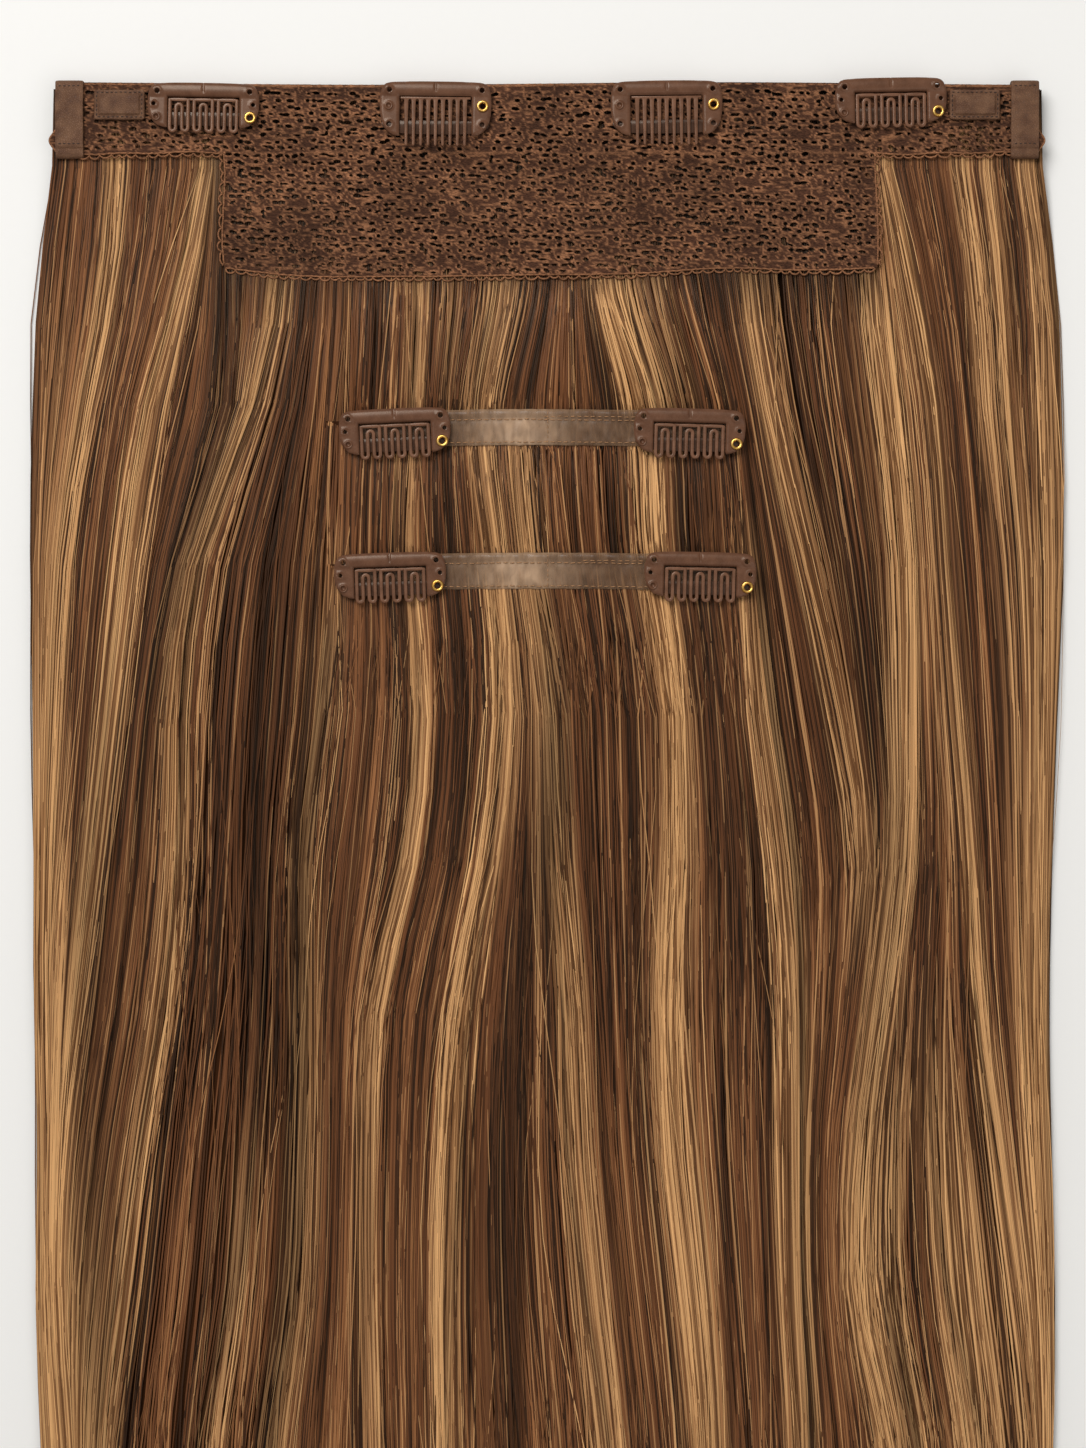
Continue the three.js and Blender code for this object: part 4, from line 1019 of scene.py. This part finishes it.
STRIP_STITCH = (1.9, 1.5, 0.13)
UPRIGHT_STITCH = (1.3, 0.9, 0.11)
STRIP_STITCH_LEVEL = 0.95
STRIP_UNDERSIDE = 0.08
STRIP_COLUMNS, STRIP_ROWS = 130, 15
STRIP_ARCH = 1.0
STRIP_END_CUT = 2.6
STRIP_LINES = {
    "upper_strip": {"stitched": ((-0.96, 0.04, 2.9), (0.0, 0.96, 2.1), (0.0, 0.96, 3.1), (-0.96, 0.96, 9.4)),
                    "seed": 51, "on": "hair_upper_row_mass"},
    "lower_strip": {"stitched": ((-0.96, 0.96, 2.9), (0.2, 0.84, 2.2), (-0.96, 0.96, 9.5)),
                    "seed": 52, "on": "hair_lower_row_mass"},
}


def make_strip(name):
    low, high = box_mm(name)
    row = STRIP_LINES[name]
    half = (high[0] - low[0] - STRIP_END_CUT) / 2
    middle = low[0] + half
    height = high[1] - low[1] - STRIP_ARCH
    u, v = np.meshgrid(np.linspace(-1, 1, STRIP_COLUMNS), np.linspace(0, 1, STRIP_ROWS))
    waves = Noise(row["seed"])
    x = middle + u * (half - 0.2)
    ragged = 0.2 * (waves.at(u * 34, v * 0.5) - 0.5) * np.abs(2 * v - 1) ** 4
    y = low[1] + STRIP_ARCH * (1 - u ** 2) + v * height + ragged
    rounding = np.clip(np.minimum(v, 1 - v) * height / 0.45, 0, 1)
    ripple = 0.28 * (waves.at(u * 26, v * 2.2 + 7) - 0.5) + 0.16 * (waves.at(u * 70 + 9, v * 5) - 0.5)
    gutter = 0.12 * np.exp(-(((1 - v) * height - 3.0) / 0.5) ** 2)
    z = low[2] + 0.45 + 0.35 * np.sqrt(rounding * (2 - rounding)) + ripple * rounding - gutter
    z = np.clip(z, low[2] + 0.2, high[2] - 0.02)
    # Painted glare: a light band across the film's middle and along its rounded edges, carried in its tone.
    glare = np.exp(-((u + 0.12) / 0.22) ** 2) * (0.5 + 0.45 * waves.at(u * 46 + 3, v * 3 + 20))
    glare = glare * (1 - 0.35 * (v > 0.72)) + 0.18 * waves.at(u * 60, v * 6) + 0.25 * (1 - rounding)
    glare = np.clip(glare, 0, 1)
    points, faces = slab(xyz(x, y, z), low[2] + STRIP_UNDERSIDE)
    tones = np.repeat(np.tile(glare.reshape(-1, 1), (2, 1)), 3, axis=1)
    film = new_piece(name + "_film", (points, faces, tones), CLEAR_FILM, (name,))
    parts = []
    level = low[2] + STRIP_STITCH_LEVEL
    for start, end, down in row["stitched"]:
        us = np.linspace(start, end, 40)
        forward = high[1] - STRIP_ARCH * us ** 2 - down
        path = xyz(middle + us * (half - 1), forward, level)
        parts += stitch_row(path, *STRIP_STITCH, row["seed"] + int(10 * down))
    upright = [(middle + 1.5, high[1] - 0.3, level), (middle + 1.5, low[1] + STRIP_ARCH + 0.4, level)]
    parts += stitch_row(upright, *UPRIGHT_STITCH, row["seed"] + 5)
    stitches = new_piece(name + "_stitches", joined(parts), LIGHT_THREAD)


# Snap clips, each in its own frame: X along it, Y to its back edge, Z up from what it is sewn to

PLATE_LEVEL = 1.2
PLATE_SHEET = 0.8
WINDOW_HALF = 10.3
RAIL = 3.7
CLIP_HALF = 16.0
STUD_INSET = 2.6
TOP_HOLE = (13.2, -2.1, 0.75)
PLATE_STEP = 0.36
SLIT_HALF = 0.12
SLIT_DEPTH = 2.2
WIRE_STATIONS = 72
WIRE_RADIUS = 0.52
WIRE_FLAT = 0.75
SHARP_ANGLE = 40
CLIP_MAKES = {
    "looped": {"height": 12.4, "reach": 13.9, "drop": 9.4, "ear_hole": (14.2, 0.46, 0.62)},
    "toothed": {"height": 15.2, "reach": 18.0, "drop": 6.6, "ear_hole": (13.3, 0.78, 0.75)},
}
# A row holds the make, the place across, the drop of the back edge and the tilt in degrees.
CLIPS = {
    "base_clip_1": ("looped", -97.965, 0.9, -1.0),
    "base_clip_2": ("toothed", -31.717, 0.5, -0.6),
    "base_clip_3": ("toothed", 34.041, 0.2, 0.6),
    "base_clip_4": ("looped", 98.035, -0.6, 1.0),
    "upper_left_clip": ("looped", -43.652, 93.9, 2.5),
    "upper_right_clip": ("looped", 40.811, 93.9, -1.5),
    "lower_left_clip": ("looped", -44.817, 135.1, 1.8),
    "lower_right_clip": ("looped", 43.723, 134.9, -1.2),
}


def rounded(corners, passes=3):
    """A closed outline with its corners cut again and again."""
    points = np.asarray(corners, float)
    for _ in range(passes):
        ahead = np.roll(points, -1, axis=0)
        points = np.stack([0.78 * points + 0.22 * ahead, 0.22 * points + 0.78 * ahead], axis=1).reshape(-1, 2)
    return points


def flat_metal(outline, low, high, bevel):
    """A flat piece with rounded edges, as points and faces."""
    curve = bpy.data.curves.new("outline", "CURVE")
    curve.dimensions = "2D"
    curve.fill_mode = "BOTH"
    curve.extrude = (high - low) / 2 - bevel
    curve.bevel_depth = bevel
    curve.bevel_resolution = 2
    curve.offset = -bevel
    spline = curve.splines.new("POLY")
    spline.points.add(len(outline) - 1)
    for point, (x, y) in zip(spline.points, outline):
        point.co = (x, y, 0, 1)
    spline.use_cyclic_u = True
    helper = bpy.data.objects.new("outline", curve)
    bpy.context.scene.collection.objects.link(helper)
    graph = bpy.context.evaluated_depsgraph_get()
    mesh = bpy.data.meshes.new_from_object(helper.evaluated_get(graph))
    bpy.data.objects.remove(helper)
    work = bmesh.new()
    work.from_mesh(mesh)
    bmesh.ops.remove_doubles(work, verts=work.verts, dist=0.003)
    work.verts.index_update()
    points = np.array([vert.co[:] for vert in work.verts])
    faces = [[vert.index for vert in face.verts] for face in work.faces]
    work.free()
    points[:, 2] += (low + high) / 2
    return points, faces


def lathe(x, y, profile, sides=24):
    """A turned ring or disc: profile holds radius and height pairs."""
    turn = full_turn(sides)
    radius, height = np.asarray(profile, float).T[:, :, None]
    points = xyz(x + radius * np.cos(turn), y + radius * np.sin(turn), height)
    return points.reshape(-1, 3), grid_faces(len(profile), sides, closed=True).tolist()


def plate_outline(make):
    """The bent plate: a rail, and an ear down each side, cut slanting at its foot."""
    tall = make["height"]
    half = [(7.0, 0.4), (13.6, 0.15), (15.1, -0.9), (15.95, -3.6), (15.9, -tall * 0.55), (15.3, -tall * 0.76),
            (13.6, -tall * 0.93), (11.6, -tall * 0.99), (WINDOW_HALF, -tall), (WINDOW_HALF, -tall),
            (WINDOW_HALF, -RAIL), (WINDOW_HALF, -RAIL)]
    return rounded(half + [(-x, y) for x, y in half[::-1]], 2)


def outline_inside(x, y, outline):
    """How far each place is inside a closed outline, less than 0 outside it."""
    start, end = outline, np.roll(outline, -1, axis=0)
    along = end - start
    place = np.stack([x, y], axis=-1)[..., None, :]
    share = ((place - start) * along).sum(-1) / np.maximum((along ** 2).sum(-1), 1e-9)
    nearest = start + np.clip(share, 0, 1)[..., None] * along
    away = np.linalg.norm(place - nearest, axis=-1).min(-1)
    spans = (start[:, 1] > y[..., None]) != (end[:, 1] > y[..., None])
    rise = np.where(np.abs(along[:, 1]) < 1e-9, 1e-9, along[:, 1])
    crossing = start[:, 0] + (y[..., None] - start[:, 1]) / rise * along[:, 0]
    inside = (spans & (x[..., None] < crossing)).sum(-1) % 2 == 1
    return np.where(inside, away, -away)


def closed_sheet(points, triangles, level):
    """A cut sheet of upper faces with walls down from all its rims, and a flat underside."""
    edges = np.concatenate([triangles[:, [0, 1]], triangles[:, [1, 2]], triangles[:, [2, 0]]])
    pairs, counts = np.unique(np.sort(edges, axis=1), axis=0, return_counts=True)
    keys = pairs[counts == 1] @ [len(points), 1]
    rim = edges[np.isin(np.sort(edges, axis=1) @ [len(points), 1], keys)]
    count = len(points)
    under = points.copy()
    under[:, 2] = level
    wall = np.stack([rim[:, 1], rim[:, 0], rim[:, 0] + count, rim[:, 1] + count], axis=1)
    faces = triangles.tolist() + (triangles[:, ::-1] + count).tolist() + wall.tolist()
    return np.concatenate([points, under]), faces


def clip_plate(make):
    """The plate as a pressed sheet: domed rail, turned-down edges, rimmed holes and a slit."""
    tall = make["height"]
    xs = np.sort(np.concatenate([np.arange(-16.38, 16.4, PLATE_STEP), [-0.28, 0.28]]))
    ys = np.arange(-tall - 0.3, 0.9, PLATE_STEP)
    x, y = np.meshgrid(xs, ys)
    outline = outline_inside(x, y, plate_outline(make))
    slit = np.maximum(np.abs(x) - SLIT_HALF, -SLIT_DEPTH - y)
    round_holes = np.full(x.shape, 9.0)
    ear_x, ear_share, ear_radius = make["ear_hole"]
    places = ((CLIP_HALF - STUD_INSET, -make["drop"], 0.8), TOP_HOLE, (ear_x, -tall * ear_share, ear_radius))
    for side in (-1, 1):
        for hole_x, hole_y, radius in places:
            round_holes = np.minimum(round_holes, np.hypot(x - side * hole_x, y - hole_y) - radius)
    field = np.minimum(np.minimum(outline, slit), round_holes)
    turned = np.clip(np.minimum(outline, slit * 2) / 0.8, 0, 1)
    height = PLATE_LEVEL + 0.25 + 0.5 * np.sqrt(turned * (2 - turned))
    height += 0.2 * np.exp(-((round_holes - 0.35) / 0.22) ** 2)
    height += 0.3 * np.clip(1 - ((y + 1.8) / 1.9) ** 2, 0, 1)
    rows = xyz(x, y, height).reshape(-1, 3)
    quads = grid_faces(len(ys), len(xs))[:, ::-1]
    return closed_sheet(*cut_where(rows, quads, field.ravel()), PLATE_LEVEL)


def clip_bar(make):
    """The flat bar behind the comb, with its lower corners cut slanting like the ears."""
    half, low = CLIP_HALF - 0.6, 0.6 - make["height"]
    side = [(half, low + 4), (half, low + 2.2), (half - 3.2, low)]
    return flat_metal(rounded(side + [(-x, y) for x, y in side[::-1]], 2), 0.3, 0.9, 0.14)


def flat_strip(left, right, bottom, top, low, high, bevel):
    corners = [(left, top), (right, top), (right, bottom), (left, bottom)]
    return flat_metal(rounded(corners, 2), low, high, bevel)


def wire_comb(make):
    """Three groups of round wire, each down, round, up, round, down, round and up again."""
    half = WINDOW_HALF - 0.75
    pitch = 2 * half / 11
    root, inner, foot = -RAIL - 0.75, -RAIL - 2.0, -make["reach"] + 0.45
    level = PLATE_LEVEL + 0.36
    parts = []
    for group in range(3):
        legs = [-half + (4 * group + leg) * pitch for leg in range(4)]
        path = [(legs[0], root)]
        for left, right, foot_or_top, way in ((0, 1, foot, 1), (1, 2, inner, -1), (2, 3, foot, 1)):
            radius = pitch / 2
            middle = (legs[left] + legs[right]) / 2
            for turn in np.linspace(0, math.pi, 9):
                y = foot_or_top + way * radius * (1 - math.sin(turn))
                path.append((middle - radius * math.cos(turn), y))
        path.append((legs[3], root))
        wire = xyz(*spaced(path, WIRE_STATIONS).T, level)
        parts.append(tube(wire, WIRE_RADIUS, 8, flat=WIRE_FLAT))
        cap = (legs[0] - 0.45, legs[3] + 0.45, root - 0.5, root + 0.45)
        parts.append(flat_strip(*cap, level - 0.3, level + 0.3, 0.15))
    parts.append(flat_strip(-half - 0.4, half + 0.4, root - 0.3, root + 0.4, level - 0.34, level + 0.1, 0.12))
    return joined(parts)


def toothed_comb(make):
    """Nine tapered teeth below a root, with rounded ends to the slots between them."""
    half = WINDOW_HALF - 0.3
    top = -RAIL - 0.3
    root = top - 0.7
    count, wide, tip = 9, 1.25, 0.8
    first = half - 1.0 - wide / 2
    pitch = 2 * first / (count - 1)
    reach = (pitch - wide) / 2
    outline = [(-half, top), (-half, root)]
    for tooth in range(count):
        x = -first + tooth * pitch
        if tooth:
            for turn in np.linspace(0, math.pi, 7):
                outline.append((x - pitch / 2 - reach * math.cos(turn), root - 0.5 + 0.5 * math.sin(turn)))
        else:
            outline.append((x - wide / 2, root))
        outline += [(x - tip / 2, -make["reach"] + 0.5), (x - tip * 0.25, -make["reach"]),
                    (x + tip * 0.25, -make["reach"]), (x + tip / 2, -make["reach"] + 0.5)]
    outline += [(first + wide / 2, root), (half, root), (half, top)]
    return flat_metal(np.array(outline), PLATE_LEVEL, PLATE_LEVEL + 0.7, 0.2)


def make_clip(name):
    kind, middle, drop, tilt = CLIPS[name]
    make = CLIP_MAKES[kind]
    carrier = box_mm(name + "_plate")[0][2] - PLATE_LEVEL
    tilt = math.radians(tilt)
    turn = np.array([[math.cos(tilt), -math.sin(tilt), 0], [math.sin(tilt), math.cos(tilt), 0], [0, 0, 1]])
    origin = np.array([middle, BASE_TOP - drop, carrier])

    def placed(shape, bow=0.0):
        points = np.array(shape[0])
        points[:, 2] += bow * (1 - (points[:, 0] / CLIP_HALF) ** 2)
        return points @ turn.T + origin, shape[1]

    seat = PLATE_LEVEL + PLATE_SHEET
    across, along = CLIP_HALF - STUD_INSET, -make["drop"]
    eyelet = [(0.82, PLATE_LEVEL), (0.82, seat + 0.15), (0.95, seat + 0.5), (1.25, seat + 0.66),
              (1.55, seat + 0.55), (1.75, seat + 0.25), (1.72, seat - 0.02)]
    stud = [(0.0, seat - 0.3), (0.5, seat - 0.3), (0.62, seat + 0.1), (0.8, seat + 0.36), (1.05, seat + 0.38),
            (1.25, seat + 0.2), (1.3, seat - 0.02)]
    comb = wire_comb(make) if kind == "looped" else toothed_comb(make)
    pieces = (
        ("_painted_plate", placed(clip_plate(make), 0.12), CLIP_PAINT, "_plate", ROOT_BODY, SHARP_ANGLE),
        ("_ring", placed(lathe(across, along, eyelet)), BRASS, "_eyelet", ROOT_BODY, None),
        ("_stud", placed(lathe(-across, along, stud)), CLIP_PAINT, "_rivet", ROOT_BODY, None),
        ("_teeth", placed(comb), COMB_PAINT_HIGHLIT, "_comb", name + "_tongue", SHARP_ANGLE),
        ("_back_bar", placed(clip_bar(make)), BAR_PAINT_SHADED, "_bar", ROOT_BODY, SHARP_ANGLE),
    )
    for ending, shape, paint, node, body, sharp in pieces:
        new_piece(name + ending, shape, paint, (name + node,), body, sharp=sharp)


# Stage, light and camera

PHOTO_WIDTH, PHOTO_HEIGHT = 1086, 1448
PHOTO_SCALE = 3.5
PHOTO_BASE_TOP = 82
PHOTO_MIDDLE_X = 547
LENS = 85
SENSOR = 36
HAIR_LEVEL = 7
LIGHTS = {
    "softbox": {"place": (-0.55, 0.95, 1.5), "size": 0.9, "watts": 25.5},
    "fill": {"place": (0.9, -0.5, 1.8), "size": 1.6, "watts": 7},
}
LIGHT_TARGET = Vector((0, 0.05, 0))
WORLD_LIGHT = (1.0, 0.985, 0.96, 1)
WORLD_STRENGTH = 0.3
FLOOR_HALF = 6
FLOOR_GAP = 0.2


def make_floor():
    mesh = bpy.data.meshes.new("floor")
    corners = [(x * FLOOR_HALF, y * FLOOR_HALF, 0) for x, y in ((-1, -1), (1, -1), (1, 1), (-1, 1))]
    mesh.from_pydata(corners, [], [(0, 1, 2, 3)])
    look = Look("floor_paper")
    fibres = look.noise(look.place(), 400, detail=3.0)
    tone = look.mix((0.862, 0.850, 0.822), (0.874, 0.862, 0.834), fibres)
    mesh.materials.append(look.dressed(tone, 0.9))
    floor = bpy.data.objects.new("floor", mesh)
    floor.location.z = -FLOOR_GAP * MM
    bpy.context.scene.collection.objects.link(floor)


def make_light():
    for name, row in LIGHTS.items():
        light = bpy.data.lights.new(name, "AREA")
        light.size = row["size"]
        light.energy = row["watts"]
        lamp = bpy.data.objects.new(name, light)
        lamp.location = row["place"]
        lamp.rotation_euler = (LIGHT_TARGET - lamp.location).to_track_quat("-Z", "Y").to_euler()
        bpy.context.scene.collection.objects.link(lamp)
    world = bpy.data.worlds.new("studio")
    world.use_nodes = True
    world.node_tree.nodes["Background"].inputs["Color"].default_value = WORLD_LIGHT
    world.node_tree.nodes["Background"].inputs["Strength"].default_value = WORLD_STRENGTH
    bpy.context.scene.world = world


def make_camera():
    """Straight above, with the photograph's frame: the base at its top and the tips cut off."""
    shown_height = PHOTO_HEIGHT / PHOTO_SCALE
    camera = bpy.data.cameras.new("camera")
    camera.lens = LENS
    camera.sensor_width = SENSOR
    camera.clip_end = 50
    eye = bpy.data.objects.new("camera", camera)
    middle_x = (PHOTO_WIDTH / 2 - PHOTO_MIDDLE_X) / PHOTO_SCALE
    middle_y = BASE_TOP - (PHOTO_HEIGHT / 2 - PHOTO_BASE_TOP) / PHOTO_SCALE
    eye.location = Vector((middle_x, middle_y, HAIR_LEVEL + shown_height * LENS / SENSOR)) * MM
    bpy.context.scene.collection.objects.link(eye)
    bpy.context.scene.camera = eye


make_hair()
make_lace()
make_tab("left_end_tab", 61)
make_tab("right_end_tab", 65)
make_patch("left_patch", 71)
make_patch("right_patch", 75)
make_strip("upper_strip")
make_strip("lower_strip")
for clip_name in CLIPS:
    make_clip(clip_name)
make_floor()
make_light()
make_camera()
bpy.context.scene.view_settings.view_transform = "Standard"
